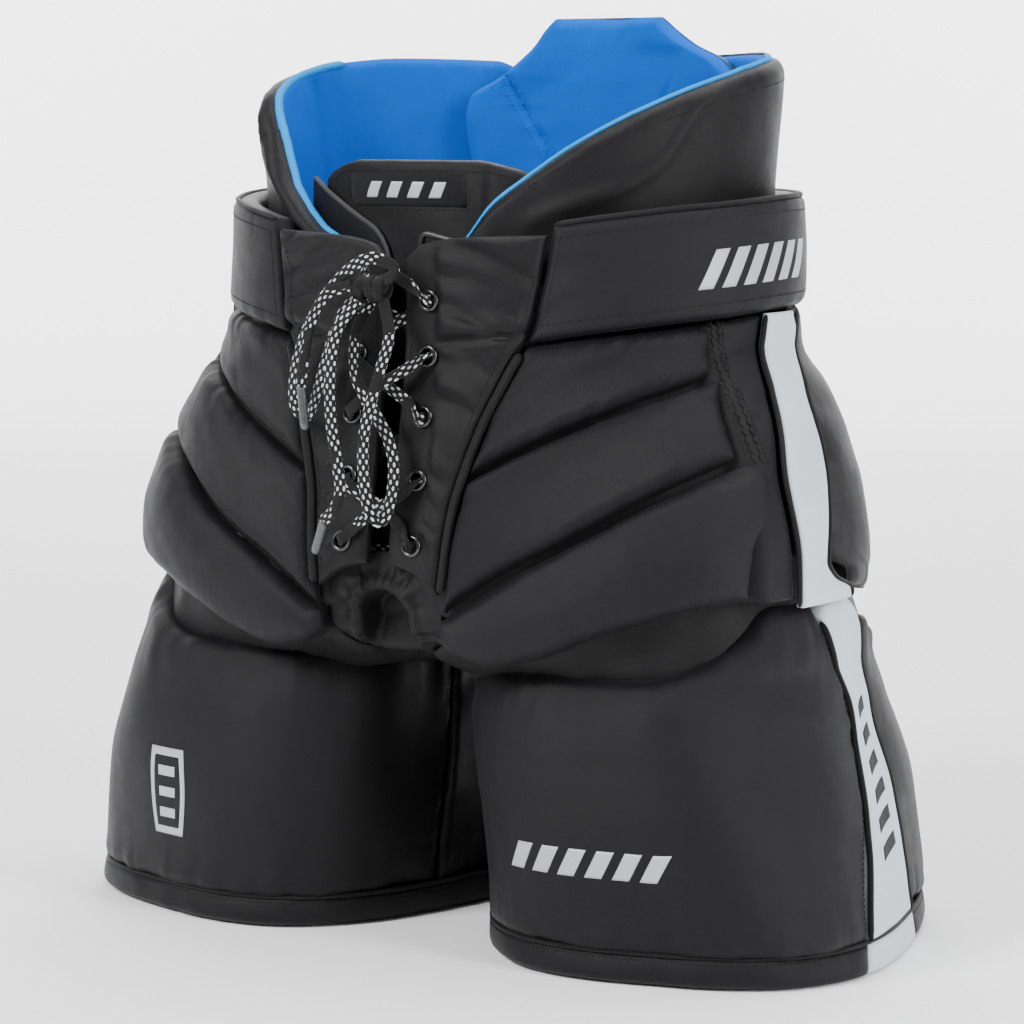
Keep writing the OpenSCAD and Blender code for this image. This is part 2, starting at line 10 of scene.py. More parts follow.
import bpy
import numpy as np
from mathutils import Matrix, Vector


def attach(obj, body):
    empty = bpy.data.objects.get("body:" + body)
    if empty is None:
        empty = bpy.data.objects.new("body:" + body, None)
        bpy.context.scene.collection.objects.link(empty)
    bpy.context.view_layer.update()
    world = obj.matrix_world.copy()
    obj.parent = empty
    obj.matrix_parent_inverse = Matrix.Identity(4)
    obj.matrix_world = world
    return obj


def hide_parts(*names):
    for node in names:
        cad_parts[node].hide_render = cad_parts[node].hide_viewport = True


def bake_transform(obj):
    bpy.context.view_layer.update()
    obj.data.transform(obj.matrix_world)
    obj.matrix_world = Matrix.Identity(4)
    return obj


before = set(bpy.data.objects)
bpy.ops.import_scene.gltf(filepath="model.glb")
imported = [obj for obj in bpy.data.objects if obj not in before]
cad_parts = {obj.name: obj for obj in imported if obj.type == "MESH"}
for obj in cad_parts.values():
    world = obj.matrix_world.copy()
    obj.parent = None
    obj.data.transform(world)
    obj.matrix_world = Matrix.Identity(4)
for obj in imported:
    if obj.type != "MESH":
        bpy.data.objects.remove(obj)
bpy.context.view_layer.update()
scene = bpy.context.scene
MM = 0.001
SIDES = (("left", 1), ("right", -1))


# ---------------------------------------------------------------- camera, light and floor
# Seen from above, the paper backdrop lies this way from the object, and runs across it this way
AWAY, ACROSS = np.array([-0.53, 0.848, 0]), np.array([0.848, 0.53, 0])


def make_camera():
    data = bpy.data.cameras.new("camera")
    data.sensor_width = 36
    data.lens = 115.9
    camera = bpy.data.objects.new("camera", data)
    scene.collection.objects.link(camera)
    camera.location = (0.742, -1.187, 0.340)
    target = Vector((-0.0019, -0.0012, 0.1696))
    camera.rotation_euler = (target - camera.location).to_track_quat("-Z", "Y").to_euler()
    scene.camera = camera


def area_light(name, location, aim, size, power):
    data = bpy.data.lights.new(name, "AREA")
    data.shape = "RECTANGLE"
    data.size, data.size_y = size
    data.energy = power
    light = bpy.data.objects.new(name, data)
    scene.collection.objects.link(light)
    light.location = location
    light.rotation_euler = (Vector(aim) - Vector(location)).to_track_quat("-Z", "Y").to_euler()


def make_lights():
    middle = (0, 0, 0.18)
    area_light("key_softbox", (-0.55, -1.35, 1.25), middle, (0.65, 0.65), 42)
    area_light("side_softbox", (1.45, -0.25, 0.75), middle, (0.4, 1.1), 24)
    area_light("top_softbox", (0.1, 0.35, 1.5), middle, (1.0, 0.8), 20)
    area_light("back_softbox", (-0.9, 1.2, 0.8), middle, (0.8, 0.8), 4)
    for name, sideways in (("left", -1.4), ("right", 1.4)):
        lamp, wall = (distance * AWAY + sideways * ACROSS + [0, 0, height]
                      for distance, height in ((2.4, 2.3), (3.8, 0.7)))
        area_light(f"wall_{name}_softbox", lamp, wall, (1.4, 0.6), 150)
    world = bpy.data.worlds.new("studio")
    world.use_nodes = True
    background = world.node_tree.nodes["Background"].inputs
    background["Color"].default_value = (0.95, 0.97, 1, 1)
    background["Strength"].default_value = 0.5
    scene.world = world


make_camera()
make_lights()


# ---------------------------------------------------------------- curves and noise
def curve_through(*points):
    """A smooth curve through (x, y) points that never overshoots them; flat beyond its ends."""
    x, y = np.array(points, float).T
    step = np.diff(x)
    slope = np.diff(y) / step
    lean = np.empty_like(y)
    lean[0], lean[-1] = slope[0], slope[-1]
    before, after = slope[:-1], slope[1:]
    same_way = before * after > 0
    total = np.where(same_way, before + after, 1)
    lean[1:-1] = np.where(same_way, 2 * before * after / total, 0)

    def at(q):
        q = np.clip(q, x[0], x[-1])
        i = np.clip(np.searchsorted(x, q) - 1, 0, len(step) - 1)
        t = (q - x[i]) / step[i]
        h = step[i]
        return (y[i] * (1 + 2 * t) * (1 - t) ** 2 + lean[i] * h * t * (1 - t) ** 2
                + y[i + 1] * t * t * (3 - 2 * t) + lean[i + 1] * h * t * t * (t - 1))

    return at


def noise(x, y, seed):
    """Smooth value noise from -1 to 1, with one bump for each unit of x and y."""
    lattice = np.random.default_rng(seed).uniform(-1, 1, (64, 64))
    x, y = np.broadcast_arrays(np.asarray(x, float), np.asarray(y, float))
    i, j = np.floor(x).astype(int), np.floor(y).astype(int)
    s, t = x - i, y - j
    s, t = s * s * (3 - 2 * s), t * t * (3 - 2 * t)
    i, j, i1, j1 = i % 64, j % 64, (i + 1) % 64, (j + 1) % 64
    low = lattice[i, j] * (1 - s) + lattice[i1, j] * s
    high = lattice[i, j1] * (1 - s) + lattice[i1, j1] * s
    return low * (1 - t) + high * t


def smooth(x, low, high):
    t = np.clip((x - low) / (high - low), 0, 1)
    return t * t * (3 - 2 * t)


def mix(a, b, t):
    return a + (b - a) * t


# ---------------------------------------------------------------- the design's own surfaces
BELT_Z, BELT_H, BELT_LIFT = 248, 45, 14
LEG_TOP = 118
HEM_H = 13
TOE_OUT = 16
COLLAR_D = -14
PELVIS_W = curve_through((110, 156), (140, 160), (165, 161), (190, 157), (208, 151), (230, 139),
                         (248, 129), (298, 127), (350, 132), (390, 134))
PELVIS_D = curve_through((110, 106), (140, 108), (165, 107), (190, 103), (220, 98), (248, 94),
                         (298, 93), (350, 94), (390, 94))
FRONT_N = curve_through((110, 3.2), (165, 3.0), (200, 2.7), (248, 2.3), (298, 2.2), (390, 2.2))
REAR_N = curve_through((110, 2.1), (200, 2.0), (390, 2.0))
LEG_X = curve_through((0, 95.5), (60, 92), (100, 87), (118, 86.5), (150, 86.5))
LEG_A = curve_through((0, 85.5), (60, 78), (100, 70), (118, 66.5), (150, 66.5))
LEG_B = curve_through((0, 98), (60, 97), (85, 94.5), (105, 89.6), (118, 88), (150, 87))
LEG_REAR_N = curve_through((0, 2.8), (60, 2.8), (100, 2.4), (118, 2.1), (150, 2.1))
FACING_A = curve_through((125, 13), (148, 15.3), (181, 17.5), (213, 23), (237, 29.4), (254, 34.5),
                         (293, 39))
EYELET_Z = (168, 194, 219, 243, 265)
EYELET_X = 17
BELT_RISE = curve_through((30, 0), (50, 0.42), (68, 0.7), (95, 0.92), (180, 1))


def belt_low(angle):
    """The belt's lower edge; it lies higher at the sides and the back."""
    return BELT_Z + BELT_LIFT * BELT_RISE(angle)


def reach(angle, a, b, n):
    return ((np.abs(np.sin(angle)) / a) ** n + (np.abs(np.cos(angle)) / b) ** n) ** (-1 / n)


def pelvis(angle, z, d=0.0):
    """A point by its angle from straight ahead and its height, d outside the hips' surface."""
    t = np.radians(angle)
    n = np.where(np.cos(t) < 0, REAR_N(z), FRONT_N(z))
    r = reach(t, PELVIS_W(z) + d, PELVIS_D(z) + d, n)
    return np.stack([r * np.sin(t), -r * np.cos(t), z + 0 * r], axis=-1)


def pelvis_across(x, z, d, side):
    """A point by its distance from the centre plane and its height; side is -1 at the front."""
    half, n = PELVIS_W(z) + d, (FRONT_N(z) if side < 0 else REAR_N(z))
    y = side * (PELVIS_D(z) + d) * (1 - np.minimum(np.abs(x) / half, 0.999) ** n) ** (1 / n)
    return np.stack([x + 0 * y, y, z + 0 * y], axis=-1)


def leg(angle, z, d=0.0):
    """A point on the left leg."""
    t = np.radians(angle)
    n = np.where(np.cos(t) < 0, LEG_REAR_N(z), 2.8)
    r = reach(t, LEG_A(z) + d, LEG_B(z) + d, n)
    turned = t + math.radians(TOE_OUT) * np.maximum(0, 1 - z / LEG_TOP)
    return np.stack([LEG_X(z) + r * np.sin(turned), -r * np.cos(turned), z + 0 * r], axis=-1)


def unit(vectors):
    return vectors / np.maximum(np.linalg.norm(vectors, axis=-1, keepdims=True), 1e-9)


def outward(skin, p, q):
    """Unit normals of a surface that is given by two coordinates."""
    gap = 0.4
    return unit(np.cross(skin(p + gap, q) - skin(p - gap, q), skin(p, q + gap) - skin(p, q - gap)))


def raised(skin, p, q, height):
    """Points at a height above a surface."""
    return skin(p, q) + height * outward(skin, p, q)


# ---------------------------------------------------------------- mesh making
FLOOR_GAP, FLOOR_SOFTNESS = 0.2, 0.8
RIM_UV = 3


def spaced(count, bunch):
    """count steps from 0 to 1, closer together at both ends."""
    t = np.linspace(0, 1, count + 1)
    return (1 - bunch) * t + bunch * (1 - np.cos(np.pi * t)) / 2


def circle(sides):
    """Points around a circle with a radius of 1."""
    turn = np.linspace(0, 2 * np.pi, sides, endpoint=False)
    return np.stack([np.cos(turn), np.sin(turn)], 1)


def cells(grid):
    """The four corners of each cell of a grid."""
    return np.stack([grid[:-1, :-1], grid[1:, :-1], grid[1:, 1:], grid[:-1, 1:]], 2)


def new_object(name, verts, faces, uvs, finishes, slots=None, wear=None):
    """verts in millimetres; faces as one array or a list of arrays; uvs has a row for each corner."""
    mesh = bpy.data.meshes.new(name)
    face_list = [f for group in faces for f in group.tolist()]
    mesh.from_pydata((np.asarray(verts) * MM).tolist(), [], face_list)
    layer = mesh.uv_layers.new(name="cloth")
    layer.data.foreach_set("uv", np.asarray(uvs, np.float32).ravel())
    for finish in finishes:
        mesh.materials.append(finish)
    if slots is not None:
        mesh.polygons.foreach_set("material_index", np.asarray(slots, np.int32))
    worn = mesh.attributes.new("wear", "FLOAT", "POINT")
    worn.data.foreach_set("value", np.asarray(np.zeros(len(verts)) if wear is None else wear, np.float32))
    mesh.polygons.foreach_set("use_smooth", np.ones(len(mesh.polygons), bool))
    mesh.update()
    obj = bpy.data.objects.new(name, mesh)
    scene.collection.objects.link(obj)
    return obj


def running_length(points, axis):
    """How far each point is along its line, row or column, and the whole length."""
    step = np.linalg.norm(np.diff(points, axis=axis), axis=-1)
    length = np.cumsum(step, axis=axis)
    zero = np.zeros_like(length.take([0], axis=axis))
    return np.concatenate([zero, length], axis=axis), length.take([-1], axis=axis)


def form(name, skin, place, counts, outer, inner, finishes, side=1, closed=False, bunch=0.6,
         paint_under=None):
    """A closed padded form on a surface.

    place maps u and v to the surface's coordinates; outer and inner give each face's height.
    The outer face has the first finish and the inner face the last one, or what paint_under picks.
    """
    nu, nv = counts
    u = np.linspace(0, 1, nu + 1) if closed else spaced(nu, bunch)
    v = spaced(nv, bunch)
    grid_u, grid_v = np.meshgrid(u, v, indexing="ij")
    p, q = place(grid_u, grid_v)
    base, out = skin(p, q), outward(skin, p, q)
    s, s_all = running_length(base, 0)
    t, t_all = running_length(base, 1)
    far = 1e4 if closed else 0
    spot = SimpleNamespace(u=grid_u, v=grid_v, p=p, q=q, s=s, t=t, left=s + far,
                           right=s_all - s + far, low=t, top=t_all - t)
    edges = np.stack([spot.left, spot.right, spot.low, spot.top]) + 0.01
    spot.edge = (edges ** -3.0).sum(0) ** (-1 / 3)
    top = base + out * (outer(spot) + 0 * s)[..., None]
    under = base + out * (inner(spot) + 0 * s)[..., None]
    top[..., 0] *= side
    under[..., 0] *= side
    for face in (top, under):
        above = (face[..., 2] - FLOOR_GAP) / FLOOR_SOFTNESS
        face[..., 2] = FLOOR_GAP + FLOOR_SOFTNESS * np.logaddexp(0, above)

    columns = nu if closed else nu + 1
    index = (np.arange(nu + 1) % columns)[:, None] * (nv + 1) + np.arange(nv + 1)
    below = index + columns * (nv + 1)
    uv = np.stack([s, t], -1)
    pairs = [(cells(index).reshape(-1, 4), cells(uv).reshape(-1, 4, 2)),
             (cells(below)[:, :, ::-1].reshape(-1, 4), cells(uv)[:, :, ::-1].reshape(-1, 4, 2))]
    rims = [(np.s_[:, 0], [0, -RIM_UV], False), (np.s_[:, nv], [0, RIM_UV], True)]
    if not closed:
        rims += [(np.s_[0], [-RIM_UV, 0], True), (np.s_[nu], [RIM_UV, 0], False)]
    for edge, shift, turned in rims:
        a, b, w = index[edge], below[edge], uv[edge]
        quads = np.stack([a[:-1], b[:-1], b[1:], a[1:]], 1)
        corners = np.stack([w[:-1], w[:-1] + shift, w[1:] + shift, w[1:]], 1)
        order = [0, 3, 2, 1] if turned else [0, 1, 2, 3]
        pairs.append((quads[:, order], corners[:, order]))
    under_slots = np.full((nu, nv), len(finishes) - 1) if paint_under is None else paint_under(spot)[:nu, :nv]
    rim_cells = sum(len(f) for f, _ in pairs[2:])
    slots = np.concatenate([np.zeros(nu * nv, int), under_slots.ravel(), np.zeros(rim_cells, int)])
    if side < 0:
        pairs = [(f[:, ::-1], w[:, ::-1]) for f, w in pairs]
    worn = np.exp(-spot.edge / 2.2)
    keep = slice(0, columns)
    obj = new_object(name,
                     np.concatenate([top[keep].reshape(-1, 3), under[keep].reshape(-1, 3)]),
                     [f for f, _ in pairs], np.concatenate([w.reshape(-1, 2) for _, w in pairs]),
                     finishes, slots, np.concatenate([worn[keep].ravel(), worn[keep].ravel()]))
    lift = unit(np.cross(np.gradient(top, axis=0), np.gradient(top, axis=1)) * side)
    return SimpleNamespace(obj=obj, u=u, v=v, top=top, under=under, lift=lift, side=side)


def on_form(shape, u, v, lift=0.0):
    """Points on a form's outer face, by u and v, raised by lift."""
    u, v = np.broadcast_arrays(np.asarray(u, float), np.asarray(v, float))
    fi = np.interp(u, shape.u, np.arange(len(shape.u)))
    fj = np.interp(v, shape.v, np.arange(len(shape.v)))
    i = np.clip(fi.astype(int), 0, len(shape.u) - 2)
    j = np.clip(fj.astype(int), 0, len(shape.v) - 2)
    s, t = (fi - i)[..., None], (fj - j)[..., None]

    def blended(grid):
        low = grid[i, j] * (1 - s) + grid[i + 1, j] * s
        return low * (1 - t) + (grid[i, j + 1] * (1 - s) + grid[i + 1, j + 1] * s) * t

    return blended(shape.top) + lift * blended(shape.lift)


def resampled(points, step):
    """The same line with points a fixed step apart."""
    points = np.asarray(points, float)
    length, whole = running_length(points, 0)
    count = max(2, int(round(whole[0] / step)) + 1)
    at = np.linspace(0, whole[0], count)
    return np.stack([np.interp(at, length, points[:, k]) for k in range(3)], 1)


def rounded_route(route, step=1.5):
    """A smooth line through a route's points."""
    p = np.array(route, float)
    p = np.concatenate([[2 * p[0] - p[1]], p, [2 * p[-1] - p[-2]]])
    t = np.linspace(0, 1, 12, endpoint=False)[:, None]
    pieces = [0.5 * (2 * p[k] + (p[k + 1] - p[k - 1]) * t
                     + (2 * p[k - 1] - 5 * p[k] + 4 * p[k + 1] - p[k + 2]) * t ** 2
                     + (3 * p[k] - p[k - 1] - 3 * p[k + 1] + p[k + 2]) * t ** 3)
              for k in range(1, len(p) - 2)]
    return resampled(np.concatenate(pieces + [p[-2:-1]]), step)


def carried_frames(points, hint=None, pull=0.3, closed=False):
    """Tangents and two crosswise directions along a line; the first leans towards the hint."""
    ahead = np.roll(points, -1, 0) - np.roll(points, 1, 0) if closed else np.gradient(points, axis=0)
    tangent = unit(ahead)
    normal = np.empty_like(points)
    current = np.array([0.2, -1, 0.1] if hint is None else hint, float)
    for k, along in enumerate(tangent):
        if hint is not None:
            wish = np.array(hint, float)
            current = current + pull * (wish - wish.dot(along) * along)
        current = unit(current - current.dot(along) * along)
        normal[k] = current
    return tangent, normal, np.cross(tangent, normal)


def cross_sections(points, section, across, out):
    """A closed outline of (across, out) points, set at each point of a line."""
    wide, high = np.asarray(section, float).T
    return points[:, None] + wide[None, :, None] * across[:, None] + high[None, :, None] * out[:, None]


class Pile:
    """Many small swept pieces gathered into one mesh."""

    def __init__(self):
        self.verts, self.faces, self.uvs, self.count = [], [], [], 0

    def rings(self, rings, uv_u, uv_v, closed=False):
        """rings is rows x sides x 3; each row is a closed cross-section."""
        rows, sides = rings.shape[:2]
        last = rows if closed else rows - 1
        i, k = np.meshgrid(np.arange(last), np.arange(sides), indexing="ij")
        corners = ((i, k), (i, k + 1), (i + 1, k + 1), (i + 1, k))
        quads = np.stack([(row % rows) * sides + column % sides for row, column in corners], -1)
        u, v = (np.append(places, 2 * places[-1] - places[-2]) for places in (uv_u, uv_v))
        corner_uv = np.stack([np.stack([u[column], v[row]], -1) for row, column in corners], 2)
        self.faces.append(quads.reshape(-1, 4) + self.count)
        self.uvs.append(corner_uv.reshape(-1, 4, 2))
        if not closed:
            for cap in (np.arange(sides)[::-1], (rows - 1) * sides + np.arange(sides)):
                self.faces.append(cap[None] + self.count)
                self.uvs.append(np.zeros((1, sides, 2)))
        self.verts.append(rings.reshape(-1, 3))
        self.count += rows * sides

    def sweep(self, points, section, hint=None, pull=0.3, closed=False, scale=1.0):
        """Sweeps a closed outline of (across, out) points along a line."""
        points, section = np.asarray(points, float), np.asarray(section, float)
        _, normal, across = carried_frames(points, hint, pull, closed)
        size = np.broadcast_to(scale, len(points))[:, None]
        around, along = running_length(section, 0)[0], running_length(points, 0)[0]
        self.rings(cross_sections(points, section, size * across, size * normal), around, along, closed)
        return self

    def tube(self, points, radius, sides=8, closed=False, ends=True):
        """A round cord; its ends are rounded off."""
        points = np.asarray(points, float)
        scale = np.ones(len(points))
        if ends and not closed and len(points) > 4:
            scale[[0, -1]], scale[[1, -2]] = 0.35, 0.85
        return self.sweep(points, radius * circle(sides), closed=closed, scale=scale)

    def stitches(self, points, pitch=2.4, length=1.7, radius=0.28):
        """A row of short thread lengths along a line."""
        step = 0.2
        line = resampled(points, step)
        every, half = int(round(pitch / step)), int(round(length / (2 * step)))
        for middle in range(half, len(line) - half, every):
            piece = line[[middle - half, middle - half // 2, middle, middle + half // 2, middle + half]]
            self.tube(piece, radius, sides=6)
        return self

    def make(self, name, finish, side=1):
        verts, faces, uvs = np.concatenate(self.verts), self.faces, self.uvs
        if side < 0:
            verts = verts * [-1, 1, 1]
            faces, uvs = ([corners[:, ::-1] for corners in groups] for groups in (faces, uvs))
        return new_object(name, verts, faces, np.concatenate([w.reshape(-1, 2) for w in uvs]), [finish])


def settle(obj, body, slot, nodes=(), fill=None, bend=None):
    """Fastens a piece to its body, or, when bend is given, only bakes its transform in place; it hides the
    imported parts that it stands for.
    """
    if bend is None:
        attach(obj, body)
    else:
        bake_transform(obj)
    if nodes:
        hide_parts(*nodes)
    return obj


# ---------------------------------------------------------------- materials
class Shader:
    """Builds one node material."""

    def __init__(self, name, roughness, **constants):
        self.material = bpy.data.materials.new(name)
        self.material.use_nodes = True
        self.tree = self.material.node_tree
        self.surface = self.tree.nodes["Principled BSDF"]
        self.surface.inputs["Roughness"].default_value = roughness
        for socket, value in constants.items():
            self.surface.inputs[socket.replace("_", " ")].default_value = value

    def node(self, kind, inputs=(), **settings):
        """A node; its inputs are linked to sockets or set to values."""
        made = self.tree.nodes.new(kind)
        for key, value in settings.items():
            setattr(made, key, value)
        for key, value in dict(inputs).items():
            if isinstance(value, bpy.types.NodeSocket):
                self.tree.links.new(value, made.inputs[key])
            else:
                made.inputs[key].default_value = value
        return made

    def math(self, operation, a, b=0.0):
        return self.node("ShaderNodeMath", {0: a, 1: b}, operation=operation).outputs[0]

    def cloth_xy(self):
        """The cloth's own coordinates, in millimetres."""
        uv = self.node("ShaderNodeUVMap", uv_map="cloth").outputs[0]
        split = self.node("ShaderNodeSeparateXYZ", {0: uv})
        return split.outputs[0], split.outputs[1]

    def wave(self, value, pitch):
        return self.math("SINE", self.math("MULTIPLY", value, 2 * math.pi / pitch))

    def mottle(self, scale, detail=2.0):
        """Noise through the object's space; scale is bumps for each metre."""
        place = self.node("ShaderNodeTexCoord").outputs["Object"]
        inputs = {"Vector": place, "Scale": scale, "Detail": detail}
        return self.node("ShaderNodeTexNoise", inputs).outputs["Fac"]

    def worn(self):
        return self.node("ShaderNodeAttribute", attribute_name="wear").outputs["Fac"]

    def blend(self, factor, a, b):
        """Mixes two colours, each a socket or a plain value."""
        first, second = (c if isinstance(c, bpy.types.NodeSocket) else (*c, 1) for c in (a, b))
        inputs = {"Factor": factor, 6: first, 7: second}
        return self.node("ShaderNodeMix", inputs, data_type="RGBA").outputs[2]

    def ranged(self, value, low, high):
        return self.node("ShaderNodeMapRange", {"Value": value, "To Min": low, "To Max": high}).outputs[0]

    def bump(self, height, depth_mm, under=None):
        inputs = {"Height": height, "Strength": 1.0, "Distance": depth_mm * MM}
        if under is not None:
            inputs["Normal"] = under
        return self.node("ShaderNodeBump", inputs).outputs[0]

    def finish(self, colour, normal=None, roughness=None):
        for socket, value in (("Base Color", colour), ("Normal", normal), ("Roughness", roughness)):
            if value is not None:
                self.tree.links.new(value, self.surface.inputs[socket])
        return self.material


def tinted(colour, factor, lift=0.0):
    return tuple(min(1, c * factor + lift) for c in colour)


def cloth(name, colour, roughness, sheen, pitch, depth, crumple=0.25, worn=0.25, rib=False, gloss=0.3):
    """Woven or knitted cloth: crossing threads, faint creases, uneven dye and paler worn edges."""
    m = Shader(name, roughness, Sheen_Weight=sheen, Sheen_Roughness=0.35, Specular_IOR_Level=gloss)
    x, y = m.cloth_xy()
    if rib:
        threads = m.math("ADD", m.wave(x, pitch), m.math("MULTIPLY", m.wave(y, pitch * 0.6), 0.35))
    else:
        threads = m.math("MULTIPLY", m.wave(x, pitch), m.wave(y, pitch))
    base = m.blend(m.ranged(m.mottle(22, 3.0), 0, 1), tinted(colour, 0.82), tinted(colour, 1.18, 0.0004))
    edge = tinted(colour, 1.5, 0.003)
    base = m.blend(m.ranged(threads, 0, 0.25), base, edge)
    base = m.blend(m.math("MULTIPLY", m.worn(), m.ranged(m.mottle(400, 2), 0, worn)), base, edge)
    normal = m.bump(threads, depth, under=m.bump(m.mottle(90, 5.0), crumple))
    rough = m.ranged(m.mottle(140, 3), roughness - 0.07, roughness + 0.09)
    return m.finish(base, normal, rough)


def moulded(name, colour, roughness, grain, depth, metallic=0.0, coat=0.0):
    """Moulded plastic or enamelled metal with a fine grain and fine scuffs."""
    m = Shader(name, roughness, Metallic=metallic, Coat_Weight=coat, Coat_Roughness=0.15)
    scuffs = m.mottle(grain, 4)
    base = m.blend(m.ranged(scuffs, 0, 0.6), tinted(colour, 0.85), tinted(colour, 1.3, 0.004))
    rough = m.ranged(m.mottle(grain / 3, 3), max(0.05, roughness - 0.08), roughness + 0.12)
    return m.finish(base, m.bump(scuffs, depth), rough)


def laced_braid(name, flecked):
    """Black flat braid; short white dashes run in three staggered rows along it."""
    row_width, dash_pitch, weave = 1.5, 4.6, 1.3
    m = Shader(name, 0.6, Sheen_Weight=0.06, Sheen_Roughness=0.4, Specular_IOR_Level=0.2)
    x, y = m.cloth_xy()
    braid = m.math("MULTIPLY", m.wave(m.math("ADD", x, y), weave), m.wave(m.math("SUBTRACT", x, y), weave))
    column = m.math("DIVIDE", x, row_width)
    stagger = m.math("MULTIPLY", m.math("FLOOR", column), 0.5)
    shifted = m.math("ADD", m.math("DIVIDE", y, dash_pitch), stagger)

    def off_middle(value, reach):
        distance = m.math("ABSOLUTE", m.math("SUBTRACT", m.math("FRACT", value), 0.5))
        return m.math("POWER", m.math("DIVIDE", distance, reach), 2.0)

    dash = m.math("LESS_THAN", m.math("ADD", off_middle(shifted, 0.21), off_middle(column, 0.36)), 1.0)
    patch = m.math("GREATER_THAN", m.mottle(60, 1), 1.0 - flecked)
    base = m.blend(m.ranged(braid, 0, 1), (0.002, 0.002, 0.0024), (0.009, 0.009, 0.010))
    base = m.blend(m.math("MULTIPLY", dash, patch), base, (0.62, 0.63, 0.65))
    return m.finish(base, m.bump(braid, 0.25))


def mesh_knit(name, colour, hole):
    """Matte lining with an open, dimpled knit."""
    m = Shader(name, 0.85, Sheen_Weight=0.03, Specular_IOR_Level=0.1)
    x, y = m.cloth_xy()
    slanted = m.math("ADD", y, m.math("MULTIPLY", x, 0.5))
    dimples = m.math("MULTIPLY", m.wave(x, hole), m.wave(slanted, hole))
    base = m.blend(m.ranged(dimples, 0, 1), colour, tinted(colour, 2.2))
    return m.finish(base, m.bump(dimples, 0.5))


SHELL = cloth("shell_nylon", (0.0046, 0.0042, 0.0052), 0.46, 0.03, 0.75, 0.05, gloss=0.17)
SOFT = cloth("soft_nylon", (0.0038, 0.0035, 0.0043), 0.46, 0.03, 0.8, 0.05, crumple=0.6, gloss=0.18)
BLUE = cloth("collar_liner", (0.0, 0.095, 0.50), 0.85, 0.0, 0.9, 0.06, crumple=0.35, worn=0.03, gloss=0.05)
# Painted highlight: a paler blue that stands in for the light caught along the kidney pads' front edge and
# rim
RIM_HIGHLIGHT_BLUE = cloth("painted_rim_highlight", (0.0, 0.23, 0.62), 0.7, 0.0, 0.7, 0.06, worn=0.03, gloss=0.1)
STRIPE = cloth("stripe_knit", (0.52, 0.585, 0.64), 0.6, 0.05, 0.7, 0.05, worn=0.05, gloss=0.25)
BINDING = cloth("black_binding", (0.0035, 0.0035, 0.0042), 0.55, 0.04, 0.6, 0.08, rib=True, gloss=0.2)
TRIM = cloth("grey_binding", (0.05, 0.048, 0.053), 0.5, 0.05, 0.6, 0.08, rib=True, gloss=0.2)
WEBBING = cloth("webbing", (0.004, 0.0038, 0.0045), 0.5, 0.03, 0.9, 0.06, gloss=0.17)
THREAD = cloth("sewing_thread", (0.0045, 0.0045, 0.005), 0.5, 0.05, 0.4, 0.05, gloss=0.2)
LINING = mesh_knit("lining_mesh", (0.003, 0.003, 0.0035), 1.8)
FOAM = cloth("foam", (0.16, 0.165, 0.175), 0.9, 0.0, 1.1, 0.08, gloss=0.2)
PLATE = moulded("guard_plastic", (0.62, 0.63, 0.62), 0.45, 900, 0.05)
ENAMEL = moulded("black_enamel", (0.004, 0.004, 0.0045), 0.2, 1500, 0.02, coat=0.4)
BUCKLE = moulded("buckle_plastic", (0.004, 0.004, 0.0045), 0.4, 1800, 0.06)
AGLET = moulded("aglet_plastic", (0.045, 0.046, 0.05), 0.25, 1200, 0.03, coat=0.3)
SILVER = moulded("silver_print", (0.40, 0.41, 0.43), 0.45, 1500, 0.02, metallic=0.2)
LACE = laced_braid("lace_braid", 0.50)
BOW_LACE = laced_braid("bow_braid", 0.62)


# ---------------------------------------------------------------- lace, bow and tails
LACE_D = 5
LACE_ROUTE = [
    (-8, -100, 277), (-13, -98, 272), (-17, -97, 266), (-17, -90, 264), (-13, -85, 261),
    (0, -84, 254), (13, -86, 247), (17, -90, 244), (17, -97, 243),
    (11, -101, 238), (0, -105, 231), (-12, -103, 223), (-17, -101, 219), (-17, -94, 218),
    (-12, -89, 214), (0, -88, 206), (12, -91, 198), (17, -97, 195), (17, -105, 193),
    (12, -108, 188), (0, -109, 181), (-12, -108, 172), (-17, -108, 168), (-17, -100, 167),
    (-12, -95, 164), (0, -94, 163), (12, -95, 164), (17, -100, 167), (17, -108, 168),
    (12, -107, 175), (0, -103, 182), (-12, -105, 189), (-17, -104, 193), (-17, -97, 195),
    (-12, -93, 199), (0, -94, 207), (12, -90, 214), (17, -94, 218), (17, -101, 219),
    (12, -100, 224), (0, -99, 231), (-12, -98, 238), (-17, -97, 243), (-17, -90, 244),
    (-12, -87, 248), (0, -90, 256), (12, -86, 261), (17, -90, 264), (17, -97, 266),
    (12, -99, 271), (6, -101, 275)
]
LOOP_LEFT = [
    (-1, -104, 272), (8, -107, 275), (9, -107, 279), (-1, -107, 282), (-11, -107, 278),
    (-22, -106, 269), (-33, -105, 255), (-40, -104, 240), (-42, -104, 227), (-39, -106, 220),
    (-32, -108, 218), (-26, -111, 226), (-20, -112, 241), (-15, -110, 257), (-10, -106, 266)
]
LOOP_RIGHT = [
    (-5, -102, 264), (-8, -108, 253), (-7, -110, 235), (2, -111, 222), (10, -112, 210),
    (13, -113, 198), (11, -114, 183), (8, -117, 178), (5, -120, 186), (3, -120, 202),
    (4, -119, 218), (8, -115, 238), (9, -110, 252), (3, -105, 265)
]
TAIL_LEFT = [
    (-10, -110, 271), (-20, -112, 267), (-27, -113, 255), (-29, -114, 244), (-29, -117, 230)
]
TAIL_RIGHT = [
    (-6, -110, 265), (-12, -116, 253), (-14, -118, 236), (-13, -119, 218), (-9, -121, 203),
    (-6, -123, 190), (-9, -124, 182), (-14, -123, 178)
]
AGLET_LEFT = [(-29, -117, 230), (-27, -117, 213)]
AGLET_RIGHT = [(-14, -123, 178), (-20, -121, 164)]
KNOT_ROUTE = [(-10, -103, 268), (-5, -105, 270), (0, -105, 271), (4, -103, 270)]
LACE_THICK = 1.7


